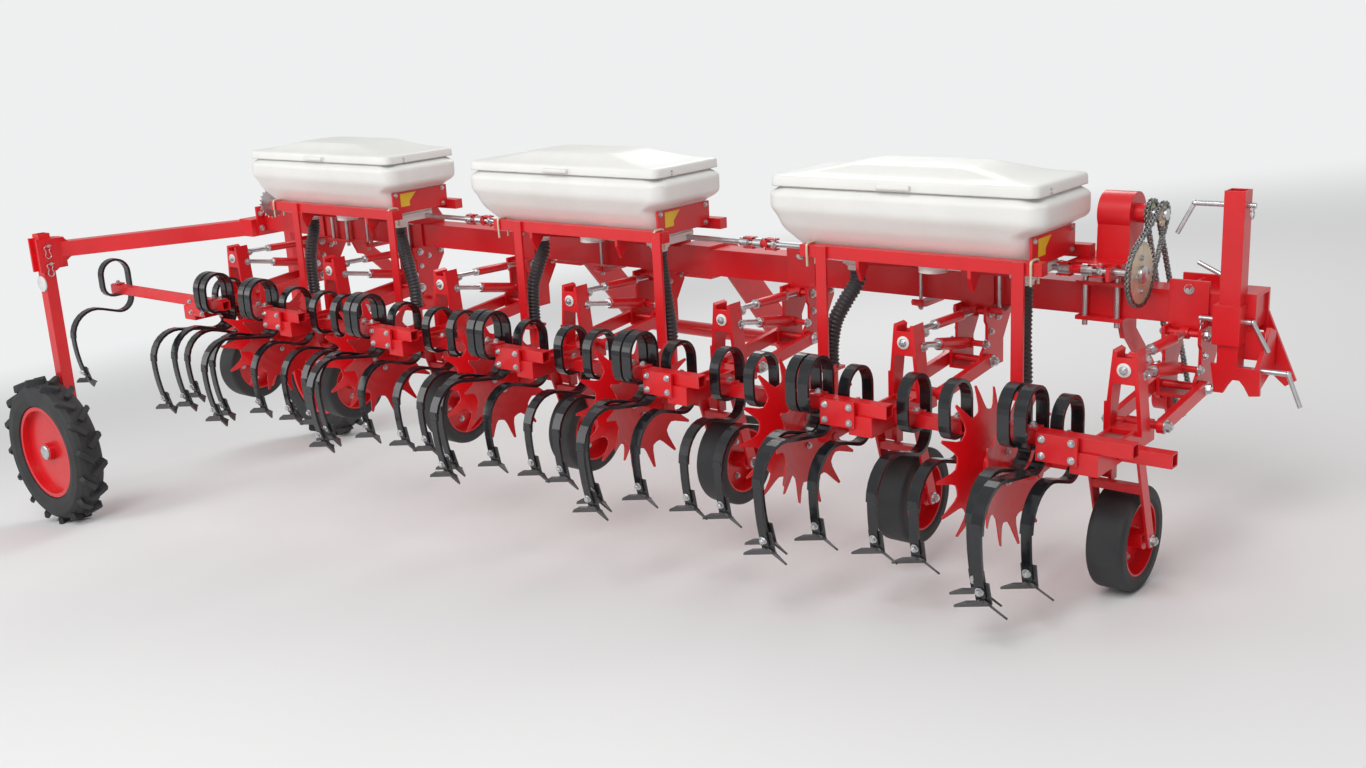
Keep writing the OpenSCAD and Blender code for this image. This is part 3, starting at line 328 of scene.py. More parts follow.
class Shape:
    """Gathers faces in the level frame and turns them into one piece."""

    def __init__(self) -> None:
        """Starts with no faces."""
        self.bm = bmesh.new()

    def loft(self, rings: list[list[Vector]], caps: tuple[bool, bool] = (True, True)) -> None:
        """Skins closed rings that all have the same number of points.

        Args:
            rings: The rings, in order.
            caps: Whether the first and the last ring are closed by a face.
        """
        made = [[self.bm.verts.new(p) for p in ring] for ring in rings]
        for low, high in zip(made, made[1:]):
            for k in range(len(low)):
                n = (k + 1) % len(low)
                self.bm.faces.new((low[k], low[n], high[n], high[k]))
        if caps[0]:
            self.bm.faces.new(list(reversed(made[0])))
        if caps[1]:
            self.bm.faces.new(made[-1])

    def box(self, low: Point, high: Point) -> None:
        """Adds a block between two corners."""
        self.loft([[Vector((x, y, z)) for x, y in ((low[0], low[1]), (high[0], low[1]),
                    (high[0], high[1]), (low[0], high[1]))] for z in (low[2], high[2])])

    def tube(self, path: list[Point], radius: float | list[float], sides: int = 12) -> None:
        """Adds a round bar along a path.

        Args:
            path: The points that it follows.
            radius: Its radius, or one radius for each point.
            sides: How many sides its section has.
        """
        points = [Vector(p) for p in path]
        radii = radius if isinstance(radius, list) else [radius] * len(points)
        side = Vector((0.31, 0.17, 0.93))
        rings = []
        for k, p in enumerate(points):
            ahead = points[min(k + 1, len(points) - 1)] - points[max(k - 1, 0)]
            ahead.normalize()
            side = (side - side.dot(ahead) * ahead).normalized()
            other = ahead.cross(side)
            rings.append([p + radii[k] * (math.cos(a) * side + math.sin(a) * other)
                          for a in (math.tau * n / sides for n in range(sides))])
        self.loft(rings)

    def rod(self, a: Point, b: Point, radius: float, sides: int = 20) -> None:
        """Adds a straight round bar from a to b."""
        self.tube([a, b], radius, sides)

    def plate(self, outline: list[Flat], at: float, thick: float, axis: str = "y") -> None:
        """Adds a flat plate.

        Args:
            outline: Its corners, in (Y, Z) for axis x, (X, Z) for y and (X, Y) for z.
            at: Where its first face is, along the axis.
            thick: Its thickness, towards plus.
            axis: The axis that it stands across.
        """
        order = {"x": lambda u, v, w: (w, u, v), "y": lambda u, v, w: (u, w, v),
                 "z": lambda u, v, w: (u, v, w)}[axis]
        self.loft([[Vector(order(u, v, w)) for u, v in outline] for w in (at, at + thick)])

    def piece(self, name: str, coat: Coat, body: str = ROOT, bevel: float = 0.0,
              smooth: float = 35.0) -> Thing:
        """Finishes the piece and rides it on its body.

        Args:
            name: The piece's name.
            coat: Its finish.
            body: The body that it moves with.
            bevel: Width of a bevel on its sharp edges, or 0.
            smooth: Edges that turn by less than this many degrees look round.

        Returns:
            The new object.
        """
        self.bm.transform(LEAN)
        bmesh.ops.recalc_face_normals(self.bm, faces=self.bm.faces)
        mesh = bpy.data.meshes.new(name)
        self.bm.to_mesh(mesh)
        self.bm.free()
        mesh.materials.append(coat.material())
        return place(bpy.data.objects.new(name, mesh), coat, body, bevel, smooth)


def place(piece: Thing, coat: Coat, body: str, bevel: float = 0.0,
          smooth: float = 35.0) -> Thing:
    """Links a piece, smooths it and rides it on its body.

    Args:
        piece: The new object, with its place in its mesh.
        coat: Its finish.
        body: The body that it moves with.
        bevel: Width of a bevel on its sharp edges, or 0.
        smooth: Edges that turn by less than this many degrees look round.

    Returns:
        The same object.
    """
    show(piece)
    if bevel:
        cut = piece.modifiers.new("edges", "BEVEL")
        cut.width = bevel
        cut.segments = 2
        cut.limit_method = "ANGLE"
        cut.angle_limit = math.radians(smooth)
        apply_modifiers(piece)
    piece.data.polygons.foreach_set("use_smooth", [True] * len(piece.data.polygons))
    piece.data.set_sharp_from_angle(angle=math.radians(smooth))
    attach(piece, body)
    log.info("%s: %d faces on %s", piece.name, len(piece.data.polygons), body)
    return piece


def apply_modifiers(piece: Thing) -> None:
    """Replaces a piece's mesh by its finished form and clears its modifiers."""
    bpy.context.view_layer.update()
    done = piece.evaluated_get(bpy.context.evaluated_depsgraph_get())
    mesh = bpy.data.meshes.new_from_object(done)
    piece.modifiers.clear()
    piece.data = mesh


def smooth_path(points: list[Point], steps: int = 8) -> list[Point]:
    """A smooth path through the given points.

    Args:
        points: The points, in order.
        steps: How many pieces each stretch is cut into.

    Returns:
        The points of a Catmull-Rom curve through them.
    """
    known = [Vector(p) for p in points]
    known = [2 * known[0] - known[1], *known, 2 * known[-1] - known[-2]]
    made = []
    for a, b, c, d in zip(known, known[1:], known[2:], known[3:]):
        for k in range(steps):
            t = k / steps
            made.append(tuple(0.5 * (2 * b + (c - a) * t + (2 * a - 5 * b + 4 * c - d) * t * t
                                     + (3 * b - a - 3 * c + d) * t ** 3)))
    made.append(tuple(known[-2]))
    return made


# Repeats


class Tree(Graph):
    """A Geometry Nodes tree with named inputs that turns a seed mesh into a plain one."""

    name = "tree"
    inputs: dict[str, str] = {}

    def __init__(self) -> None:
        """Builds the tree's sockets and then its nodes."""
        self.group = bpy.data.node_groups.new(self.name, "GeometryNodeTree")
        face = self.group.interface
        face.new_socket("Geometry", in_out="INPUT", socket_type="NodeSocketGeometry")
        for label, kind in self.inputs.items():
            face.new_socket(label, in_out="INPUT", socket_type="NodeSocket" + kind)
        face.new_socket("Finish", in_out="INPUT", socket_type="NodeSocketMaterial")
        face.new_socket("Geometry", in_out="OUTPUT", socket_type="NodeSocketGeometry")
        super().__init__(self.group)
        self.given = self.add("NodeGroupInput").outputs
        shape = self.build()
        real = self.add("GeometryNodeRealizeInstances")
        paint = self.add("GeometryNodeSetMaterial")
        out = self.add("NodeGroupOutput")
        self.link(shape, real.inputs[0])
        self.link(real.outputs[0], paint.inputs["Geometry"])
        self.link(self.given["Finish"], paint.inputs["Material"])
        self.link(paint.outputs[0], out.inputs[0])

    def build(self) -> Socket:
        """Adds the tree's own nodes and returns the socket that holds the shape."""
        raise NotImplementedError

    def math(self, operation: str, a: object, b: object = 0.0) -> Socket:
        """Adds a Math node on two sockets or numbers and returns its output."""
        node = self.add("ShaderNodeMath", operation=operation)
        for slot, value in zip(node.inputs, (a, b)):
            self.feed(slot, value)
        return node.outputs[0]

    def vector(self, x: object, y: object, z: object) -> Socket:
        """Joins three sockets or numbers into a vector."""
        node = self.add("ShaderNodeCombineXYZ")
        for slot, value in zip(node.inputs, (x, y, z)):
            self.feed(slot, value)
        return node.outputs[0]

    def shift(self, shape: Socket, x: object, z: object) -> Socket:
        """Moves a shape along X and Z."""
        node = self.add("GeometryNodeTransform")
        self.link(shape, node.inputs["Geometry"])
        self.link(self.vector(x, 0.0, z), node.inputs["Translation"])
        return node.outputs[0]

    def drum(self, sides: int, radius: object, height: object) -> Socket:
        """A prism round Z, centred on the origin."""
        node = self.add("GeometryNodeMeshCylinder", {"Vertices": sides})
        self.feed(node.inputs["Radius"], radius)
        self.feed(node.inputs["Depth"], height)
        return node.outputs["Mesh"]

    def join(self, *shapes: Socket) -> Socket:
        """Joins shapes into one."""
        node = self.add("GeometryNodeJoinGeometry")
        for shape in shapes:
            self.link(shape, node.inputs[0])
        return node.outputs[0]

    def copies(self, points: Socket, shape: Socket,
               turn: Socket, **others: Socket
               ) -> Socket:
        """Sets a turned copy of a shape at each point.

        Args:
            points: The points.
            shape: What is copied.
            turn: Each copy's rotation.
            **others: More inputs of the node, such as Scale or Selection.

        Returns:
            The copies.
        """
        node = self.add("GeometryNodeInstanceOnPoints")
        for label, source in (("Points", points), ("Instance", shape), ("Rotation", turn),
                              *others.items()):
            self.link(source, node.inputs[label])
        return node.outputs[0]

    def resample(self, pitch: Socket) -> Socket:
        """The seed's edges as a curve with a point at every pitch."""
        curve = self.add("GeometryNodeMeshToCurve")
        self.link(self.given["Geometry"], curve.inputs["Mesh"])
        even = self.add("GeometryNodeResampleCurve")
        if "Mode" in {i.name for i in even.inputs}:
            even.inputs["Mode"].default_value = "Length"
        else:
            even.mode = "LENGTH"
        self.link(curve.outputs[0], even.inputs["Curve"])
        self.link(pitch, even.inputs["Length"])
        return even.outputs[0]

    def named(self, label: str, kind: str) -> Socket:
        """Reads a named attribute of the seed."""
        node = self.add("GeometryNodeInputNamedAttribute", data_type=kind)
        node.inputs["Name"].default_value = label
        return next(o for o in node.outputs if o.enabled and o.name == "Attribute")

    def grow(self, name: str, seed: bpy.types.Mesh, coat: Coat, body: str = ROOT,
             smooth: float = 35.0, **sizes: float) -> Thing:
        """Runs the tree over a seed mesh.

        Args:
            name: The piece's name.
            seed: The mesh that it grows from.
            coat: Its finish.
            body: The body that it moves with.
            smooth: Edges that turn by less than this many degrees look round.
            **sizes: The tree's inputs, with _ for a space.

        Returns:
            The piece, as a plain mesh.
        """
        piece = bpy.data.objects.new(name, seed)
        grower = piece.modifiers.new("grow", "NODES")
        grower.node_group = self.group
        given = {k.replace("_", " ").lower(): v for k, v in sizes.items()}
        for item in self.group.interface.items_tree:
            if item.in_out == "INPUT" and item.name.lower() in given:
                grower[item.identifier] = given[item.name.lower()]
            if item.in_out == "INPUT" and item.name == "Finish":
                grower[item.identifier] = coat.material()
        show(piece)
        apply_modifiers(piece)
        bpy.context.scene.collection.objects.unlink(piece)
        return place(piece, coat, body, 0.0, smooth)


class FastenerTree(Tree):
    """A hexagon head or nut on a washer, one at each point of the seed."""

    name = "fasteners"
    inputs = {"Head Radius": "Float", "Head Height": "Float", "Washer Radius": "Float",
              "Washer Height": "Float", "Stud Radius": "Float", "Stud Height": "Float",
              "Turn Seed": "Int"}

    def build(self) -> Socket:
        """Stacks washer, head and stud along Z and sets them at the points."""
        given = self.given
        washer, head = given["Washer Height"], given["Head Height"]
        crown = self.math("MULTIPLY", given["Head Radius"], 0.84)
        layers = [self.shift(self.drum(sides, radius, height), 0.0, self.math(
            "ADD", base, self.math("MULTIPLY", height, share)))
            for sides, radius, height, base, share in (
                (18, given["Washer Radius"], washer, 0.0, 0.5),
                (6, given["Head Radius"], head, washer, 0.5),
                (12, crown, head, washer, 0.58),
                (10, given["Stud Radius"], given["Stud Height"], head, 0.5))]
        turned = self.add("FunctionNodeAlignRotationToVector", axis="Z")
        self.link(self.named("direction", "FLOAT_VECTOR"), turned.inputs["Vector"])
        chance = self.add("FunctionNodeRandomValue", data_type="FLOAT")
        chance.inputs[3].default_value = math.tau
        self.link(given["Turn Seed"], chance.inputs["Seed"])
        spin = self.add("FunctionNodeRotateRotation", rotation_space="LOCAL")
        self.link(turned.outputs[0], spin.inputs[0])
        self.link(self.vector(0.0, 0.0, chance.outputs[1]), spin.inputs[1])
        return self.copies(given["Geometry"], self.join(*layers), spin.outputs[0],
                           Scale=self.named("size", "FLOAT"))


class RibbedTree(Tree):
    """A round tube along the seed's edges, with ribs round it at an even pitch."""

    name = "ribbed_tube"
    inputs = {"Radius": "Float", "Rib Pitch": "Float", "Rib Depth": "Float", "Sides": "Int",
              "Steps": "Int"}

    def build(self) -> Socket:
        """Resamples the path and swells a round profile at every rib."""
        given = self.given
        even = self.resample(self.math("DIVIDE", given["Rib Pitch"], given["Steps"]))
        along = self.add("GeometryNodeSplineParameter")
        turn = self.math("MULTIPLY", self.math("DIVIDE", along.outputs["Length"],
                                               given["Rib Pitch"]), math.tau)
        swell = self.math("MULTIPLY", self.math("SINE", turn), given["Rib Depth"])
        width = self.add("GeometryNodeSetCurveRadius")
        self.link(even, width.inputs["Curve"])
        self.link(self.math("ADD", given["Radius"], swell), width.inputs["Radius"])
        ring = self.add("GeometryNodeCurvePrimitiveCircle", {"Radius": 1.0})
        self.link(given["Sides"], ring.inputs["Resolution"])
        skin = self.add("GeometryNodeCurveToMesh")
        self.link(width.outputs[0], skin.inputs["Curve"])
        self.link(ring.outputs[0], skin.inputs["Profile Curve"])
        if "Scale" in skin.inputs:
            size = self.add("GeometryNodeInputRadius")
            self.link(size.outputs[0], skin.inputs["Scale"])
        skin.inputs["Fill Caps"].default_value = True
        return skin.outputs[0]


class ChainTree(Tree):
    """Roller chain links along the seed's closed loop, which lies across a given side."""

    name = "roller_chain"
    inputs = {"Pitch": "Float", "Plate Height": "Float", "Inner Width": "Float",
              "Plate Thickness": "Float", "Roller Radius": "Float", "Side": "Vector"}

    def link_plates(self, gap: object) -> Socket:
        """Two plates one pitch long, at plus and minus half a gap along Z.

        Args:
            gap: The distance between the plates' middles.

        Returns:
            The plates' socket, centred on the link.
        """
        given = self.given
        half = self.math("MULTIPLY", given["Pitch"], 0.5)
        round_end = self.math("MULTIPLY", given["Plate Height"], 0.5)
        shapes = []
        for s in (-1.0, 1.0):
            z = self.math("MULTIPLY", gap, 0.5 * s)
            for t in (-1.0, 1.0):
                end = self.drum(10, round_end, given["Plate Thickness"])
                shapes.append(self.shift(end, self.math("MULTIPLY", half, t), z))
            waist = self.add("GeometryNodeMeshCube")
            self.link(self.vector(given["Pitch"], self.math(
                "MULTIPLY", given["Plate Height"], 0.66), given["Plate Thickness"]),
                waist.inputs["Size"])
            shapes.append(self.shift(waist.outputs["Mesh"], 0.0, z))
        return self.join(*shapes)

    def build(self) -> Socket:
        """Sets inner and outer links in turn, and a roller at every pitch."""
        given = self.given
        tangent = self.add("GeometryNodeInputTangent")
        turned = self.add("FunctionNodeAlignRotationToVector", axis="X")
        self.link(tangent.outputs[0], turned.inputs["Vector"])
        upright = self.add("FunctionNodeAlignRotationToVector", axis="Z", pivot_axis="X")
        self.link(turned.outputs[0], upright.inputs["Rotation"])
        self.link(given["Side"], upright.inputs["Vector"])
        points = self.resample(given["Pitch"])
        number = self.add("GeometryNodeInputIndex")
        odd = self.math("MODULO", number.outputs[0], 2.0)
        even = self.math("SUBTRACT", 1.0, odd)
        inner = given["Inner Width"]
        outer = self.math("ADD", inner, self.math("MULTIPLY", given["Plate Thickness"], 2.2))
        roller = self.drum(10, given["Roller Radius"], inner)
        turn = upright.outputs[0]
        return self.join(self.copies(points, self.link_plates(inner), turn, Selection=odd),
                         self.copies(points, self.link_plates(outer), turn, Selection=even),
                         self.copies(points, roller, turn))


def line_seed(name: str, paths: list[list[Point]], closed: bool = False) -> bpy.types.Mesh:
    """A mesh of loose edges along paths given in the level frame.

    Args:
        name: The mesh's name.
        paths: The paths.
        closed: Whether each path runs back to its start.

    Returns:
        The mesh, in the parked frame.
    """
    corners: list[Vector] = []
    edges: list[tuple[int, int]] = []
    for path in paths:
        start = len(corners)
        corners += [LEAN @ Vector(p) for p in path]
        edges += [(start + k, start + k + 1) for k in range(len(path) - 1)]
        if closed:
            edges.append((len(corners) - 1, start))
    mesh = bpy.data.meshes.new(name)
    mesh.from_pydata(corners, edges, [])
    return mesh


@dataclass
class Fasteners:
    """Collects where bolts and nuts sit, and makes one piece of them for each body."""

    sizes: dict[str, float] = field(default_factory=lambda: {
        "head_radius": 0.0105, "head_height": 0.008, "washer_radius": 0.0135,
        "washer_height": 0.0022, "stud_radius": 0.0056, "stud_height": 0.006, "turn_seed": 7})
    spots: dict[tuple[str, Coat], list[tuple[Point, Point, float]]] = field(
        default_factory=dict)

    def at(self, where: Point, facing: Point, size: float = 1.0, body: str = ROOT,
           coat: Coat = Coat.ZINC) -> None:
        """Notes one fastener.

        Args:
            where: Its seat, in the level frame.
            facing: The way its head faces.
            size: Its scale; 1 is an M12 head.
            body: The body that it moves with.
            coat: Its plating.
        """
        self.spots.setdefault((body, coat), []).append((where, facing, size))

    def ring(self, middle: Point, facing: Point, radius: float, count: int,
             size: float = 1.0, body: str = ROOT, coat: Coat = Coat.ZINC) -> None:
        """Notes a circle of fasteners round a middle."""
        axis = Vector(facing).normalized()
        side = axis.orthogonal().normalized()
        other = axis.cross(side)
        for k in range(count):
            a = math.tau * (k + 0.5) / count
            spot = Vector(middle) + radius * (math.cos(a) * side + math.sin(a) * other)
            self.at(tuple(spot), facing, size, body, coat)

    def build(self, tree: FastenerTree) -> None:
        """Grows the noted fasteners, one piece for each body and plating."""
        for (body, coat), spots in self.spots.items():
            seed = bpy.data.meshes.new("fastener_seed")
            seed.from_pydata([LEAN @ Vector(s[0]) for s in spots], [], [])
            seed.attributes.new("direction", "FLOAT_VECTOR", "POINT")
            seed.attributes.new("size", "FLOAT", "POINT")
            turn = LEAN.to_3x3()
            seed.attributes["direction"].data.foreach_set(
                "vector", [c for s in spots for c in turn @ Vector(s[1])])
            seed.attributes["size"].data.foreach_set("value", [s[2] for s in spots])
            tree.grow(f"fasteners_{body}_{coat.name.lower()}", seed, coat, body, **self.sizes)


# Hoppers


def between(profile: list[Flat], at: float, window: float) -> float:
    """A profile's value, averaged over a short window so that its corners turn softly.

    Args:
        profile: Pairs of height and value, in rising order.
        at: The height.
        window: Half the window's width.

    Returns:
        The softened value.
    """
    total = 0.0
    samples = 9
    for k in range(samples):
        h = at + window * (2 * k / (samples - 1) - 1)
        h = min(max(h, profile[0][0]), profile[-1][0])
        value = profile[-1][1]
        for (h0, v0), (h1, v1) in zip(profile, profile[1:]):
            if h <= h1:
                value = v0 + (v1 - v0) * (h - h0) / max(h1 - h0, 1e-9)
                break
        total += value
    return total / samples


def rounded_ring(left: float, right: float, back: float, front: float, radius: float,
                 z: float, steps: int = 8) -> list[Vector]:
    """A rectangle with round corners at one height.

    Args:
        left: Its lowest X.
        right: Its highest X.
        back: Its lowest Y.
        front: Its highest Y.
        radius: Its corners' radius.
        z: Its height.
        steps: How many pieces each corner has.

    Returns:
        Its points, counter-clockwise from above.
    """
    radius = min(radius, (right - left) / 2.05, (front - back) / 2.05)
    ring = []
    for x, y, start in ((right - radius, front - radius, 0.0), (left + radius, front - radius,
                        90.0), (left + radius, back + radius, 180.0),
                        (right - radius, back + radius, 270.0)):
        for k in range(steps + 1):
            a = math.radians(start + 90.0 * k / steps)
            ring.append(Vector((x + radius * math.cos(a), y + radius * math.sin(a), z)))
    return ring


@dataclass
class Hopper:
    """A moulded hopper with its metering units, hinge ears and lid."""

    side: str
    x: float
    width: float = 1.000
    depth: float = 0.400
    height: float = 0.240
    y: float = -0.190
    z: float = 0.872
    wall: float = 0.006
    corner: float = 0.062
    levels: int = 30
    outlet_radius: float = 0.030
    knuckle_offset: float = 0.300
    right_profile: tuple[Flat, ...] = ((0, 0.44), (0.42, 0.44), (0.52, 0.497), (0.84, 0.497),
                                       (0.90, 0.46), (1, 0.46))
    left_profile: tuple[Flat, ...] = ((0, 0.40), (0.30, 0.468), (0.52, 0.482), (0.60, 0.497),
                                      (0.84, 0.497), (0.90, 0.46), (1, 0.46))
    side_profile: tuple[Flat, ...] = ((0, 0.30), (0.35, 0.436), (0.60, 0.496), (0.84, 0.496),
                                      (0.90, 0.43), (1, 0.43))

    @property
    def body(self) -> str:
        """The body that the lid rides on."""
        return "hopper_lid_" + self.side

    def shell(self) -> Thing:
        """The open moulded tub, replacing the CAD hopper.

        Returns:
            The tub.
        """
        shape = Shape()
        rings = []
        for k in range(self.levels + 1):
            h = k / self.levels
            inset = 0.010 * max(0.0, 1.0 - h / 0.07) ** 2
            reach = [between(list(p), h, 0.045) for p in (self.left_profile, self.right_profile,
                                                          self.side_profile)]
            rings.append(rounded_ring(
                self.x - reach[0] * self.width + inset, self.x + reach[1] * self.width - inset,
                self.y - reach[2] * self.depth + inset, self.y + reach[2] * self.depth - inset,
                self.corner, self.z + h * self.height))
        shape.loft(rings, caps=(True, False))
        tub = shape.piece("tub_" + self.side, Coat.WHITE)
        wall = tub.modifiers.new("wall", "SOLIDIFY")
        wall.thickness = self.wall
        wall.offset = -1.0
        apply_modifiers(tub)
        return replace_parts(tub, "hopper_" + self.side)

    def fittings(self) -> None:
        """The metering units with their funnels, the centre outlet and the hinge ears."""
        shape = Shape()
        for offset in LAYOUT.meter_offsets:
            x = self.x + offset
            shape.box((x - 0.034, -0.304, 0.834), (x + 0.034, -0.112, self.z + 0.001))
            shape.box((x - 0.040, -0.300, 0.856), (x + 0.040, -0.116, 0.866))
            self.funnel(shape, (x, LAYOUT.funnel_mouth[0]), self.outlet_radius,
                        LAYOUT.funnel_mouth[1], 0.834)
        self.funnel(shape, (self.x + 0.10, -0.315), 0.046, 0.836, 0.872)
        for s in (-1, 1):
            hinge = self.x + s * self.knuckle_offset
            for t in (-1, 1):
                shape.plate([(0.002, 1.074), (0.006, 1.050), (0.021, 1.101), (0.021, 1.116),
                             (0.008, 1.116), (0.002, 1.082)], hinge + t * 0.042 - 0.006, 0.012,
                            "x")
            shape.rod((hinge - 0.050, 0.014, 1.109), (hinge + 0.050, 0.014, 1.109), 0.004, 12)
        shape.piece("metering_" + self.side, Coat.WHITE, bevel=0.0015)

    @staticmethod
    def funnel(shape: Shape, middle: Flat, radius: float, low: float, high: float) -> None:
        """A round spout with a rim, between two heights."""
        x, y = middle
        steps = [(low, radius - 0.004), (low, radius), (low + 0.004, radius + 0.001),
                 (low + 0.005, radius - 0.002), (high - 0.006, radius + 0.004),
                 (high - 0.005, radius + 0.008), (high, radius + 0.008)]
        shape.loft([[Vector((x + r * math.cos(a), y + r * math.sin(a), z)) for a in
                     (math.tau * n / 32 for n in range(32))] for z, r in steps])

    def lid(self) -> Thing:
        """The domed lid with its rim, replacing the CAD lid.

        Returns:
            The lid.
        """
        half_w, half_d = self.width * 0.48, self.depth * 0.475
        base = self.z + self.height + 0.005
        steps = [(-0.026, 0.0, 0.0), (-0.022, 0.0, 0.0), (0.000, 0.001, 0.001),
                 (0.006, 0.003, 0.003), (0.0085, 0.008, 0.007), (0.010, 0.030, 0.016),
                 (0.013, 0.075, 0.030), (0.022, 0.130, 0.050), (0.036, 0.205, 0.066),
                 (0.043, 0.240, 0.074), (0.047, 0.262, 0.082), (0.048, 0.285, 0.092)]
        shape = Shape()
        shape.loft([rounded_ring(self.x - half_w + i, self.x + half_w - i,
                                 self.y - half_d + j, self.y + half_d - j,
                                 0.030 + 0.3 * j, base + z) for z, i, j in steps],
                   caps=(False, True))
        lid = shape.piece("cover_" + self.side, Coat.WHITE, self.body, smooth=50.0)
        wall = lid.modifiers.new("wall", "SOLIDIFY")
        wall.thickness = self.wall
        wall.offset = -1.0
        apply_modifiers(lid)
        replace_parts(lid, "lid_" + self.side)
        trim = Shape()
        for s in (-1, 1):
            hinge = self.x + s * self.knuckle_offset
            trim.rod((hinge - 0.030, 0.014, 1.109), (hinge + 0.030, 0.014, 1.109), 0.009, 16)
            trim.box((hinge - 0.030, -0.002, 1.103), (hinge + 0.030, 0.010, 1.115))
        grip_y = self.y - half_d
        trim.box((self.x - 0.060, grip_y - 0.015, 1.098), (self.x + 0.060, grip_y + 0.002, 1.113))
        trim.piece("cover_trim_" + self.side, Coat.WHITE, self.body, bevel=0.003)
        latch = Shape()
        for z in (1.098, 1.110):
            latch.rod((self.x + half_w - 0.004, self.y - 0.10, z),
                      (self.x + half_w + 0.006, self.y - 0.10, z), 0.0035, 10)
        latch.piece("latch_" + self.side, Coat.ZINC, self.body)
        return lid

    def side_plate(self, bolts: Fasteners) -> None:
        """The blank yellow plate and the bolts on the red plate at the hopper's right end."""
        x = self.x + self.width * 0.44 + 0.008
        shape = Shape()
        shape.plate([(-0.300, 0.905), (-0.252, 0.905), (-0.252, 0.925), (-0.214, 0.960),
                     (-0.300, 0.960)], x, 0.0012, "x")
        shape.piece("plate_" + self.side, Coat.PLATE)
        for y, z in ((-0.325, 0.890), (-0.325, 0.956), (-0.065, 0.890), (-0.065, 0.956)):
            bolts.at((x, y, z), (1, 0, 0), 0.7)

    def build(self, bolts: Fasteners) -> None:
        """Makes every piece of the hopper."""
        self.shell()
        self.fittings()
        self.lid()
        self.side_plate(bolts)


# Hopper stand


@dataclass
class HopperStand:
    """Small parts of one hopper's rails: wire clips, clamp rods and hooks."""

    side: str
    x: float
    rail_half: float = 0.430
    rail_shift: float = 0.068
    rail_back: Flat = (-0.380, -0.340)
    rail_z: Flat = (0.862, 0.902)
    clamp_offsets: Flat = (-0.085, 0.205)

    def u_bolts(self, shape: Shape) -> None:
        """A wire clip over each end of the rear rail."""
        low, high = self.rail_z
        back, front = self.rail_back
        for s in (-1, 1):
            x = self.x + self.rail_shift + s * (self.rail_half - 0.032)
            shape.tube(smooth_path([(x, back - 0.004, low - 0.030), (x, back - 0.005, low),
                                    (x, back - 0.005, high - 0.004), (x, back + 0.004, high
                                    + 0.005), (x, front - 0.004, high + 0.005),
                                    (x, front + 0.005, high - 0.004), (x, front + 0.005, low),
                                    (x, front + 0.004, low - 0.030)], 4), 0.0045, 8)

    def clamps(self, rods: Shape, hooks: Shape, bolts: Fasteners) -> None:
        """Two long bolts beside the beam with hooked brackets under it."""
        y = -LAYOUT.beam_half - 0.020
        for offset in self.clamp_offsets:
            x = self.x + offset
            rods.rod((x, y, LAYOUT.beam_low - 0.020), (x, y, self.rail_z[0] + 0.002), 0.0065, 12)
            hooks.plate([(y - 0.030, 0.676), (y - 0.024, 0.664), (y - 0.004, 0.658),
                         (0.050, 0.658), (0.050, 0.672), (y - 0.010, 0.672),
                         (y - 0.016, 0.684), (y - 0.024, 0.684)], x - 0.022, 0.044, "x")
            bolts.at((x, y, 0.658), (0, 0, -1), 0.85)

    def build(self, bolts: Fasteners) -> None:
        """Makes the stand's clips, rods and hooks."""
        wires, rods, hooks = Shape(), Shape(), Shape()
        self.u_bolts(wires)
        self.clamps(rods, hooks, bolts)
        wires.piece("rail_clips_" + self.side, Coat.GOLD, smooth=60.0)
        rods.piece("clamp_rods_" + self.side, Coat.ZINC)
        hooks.piece("clamp_hooks_" + self.side, Coat.RED, bevel=0.001)


# Hoses


@dataclass
class Hoses:
    """The six ribbed hoses from the metering units down to the rows."""

    radius: float = 0.0255
    pitch: float = 0.0135
    rib: float = 0.0022
    foot: Flat = (-0.330, 0.486)
    row_shift: float = -0.400

    def path(self, k: int, m: int) -> list[Point]:
        """The middle line of one hose.

        Args:
            k: The hopper, from -1 to 1.
            m: Its metering unit, 0 or 1.

        Returns:
            Points from the funnel down to the row's tube.
        """
        a = LAYOUT.hopper(k) + LAYOUT.meter_offsets[m]
        b = LAYOUT.section(2 * k + m + 3) + self.row_shift
        y0, z0 = LAYOUT.funnel_mouth
        y1, z1 = self.foot
        return smooth_path([(a, y0, z0 + 0.012), (a, y0, z0 - 0.040),
                            (a + (b - a) * 0.42, (y0 + y1) / 2, 0.705),
                            (a + (b - a) * 0.80, y1 + 0.006, 0.638), (b, y1, 0.556),
                            (b, y1, z1 - 0.004)], 8)

    def build(self, tree: RibbedTree) -> Thing:
        """Grows the hoses in place of the CAD tubes."""
        paths = [self.path(k, m) for k in (-1, 0, 1) for m in (0, 1)]
        hoses = tree.grow("ribbed_hoses", line_seed("hose_seed", paths), Coat.HOSE, smooth=60.0,
                          radius=self.radius, rib_pitch=self.pitch, rib_depth=self.rib,
                          sides=20, steps=6)
        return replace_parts(hoses, "hoses")


# Sections


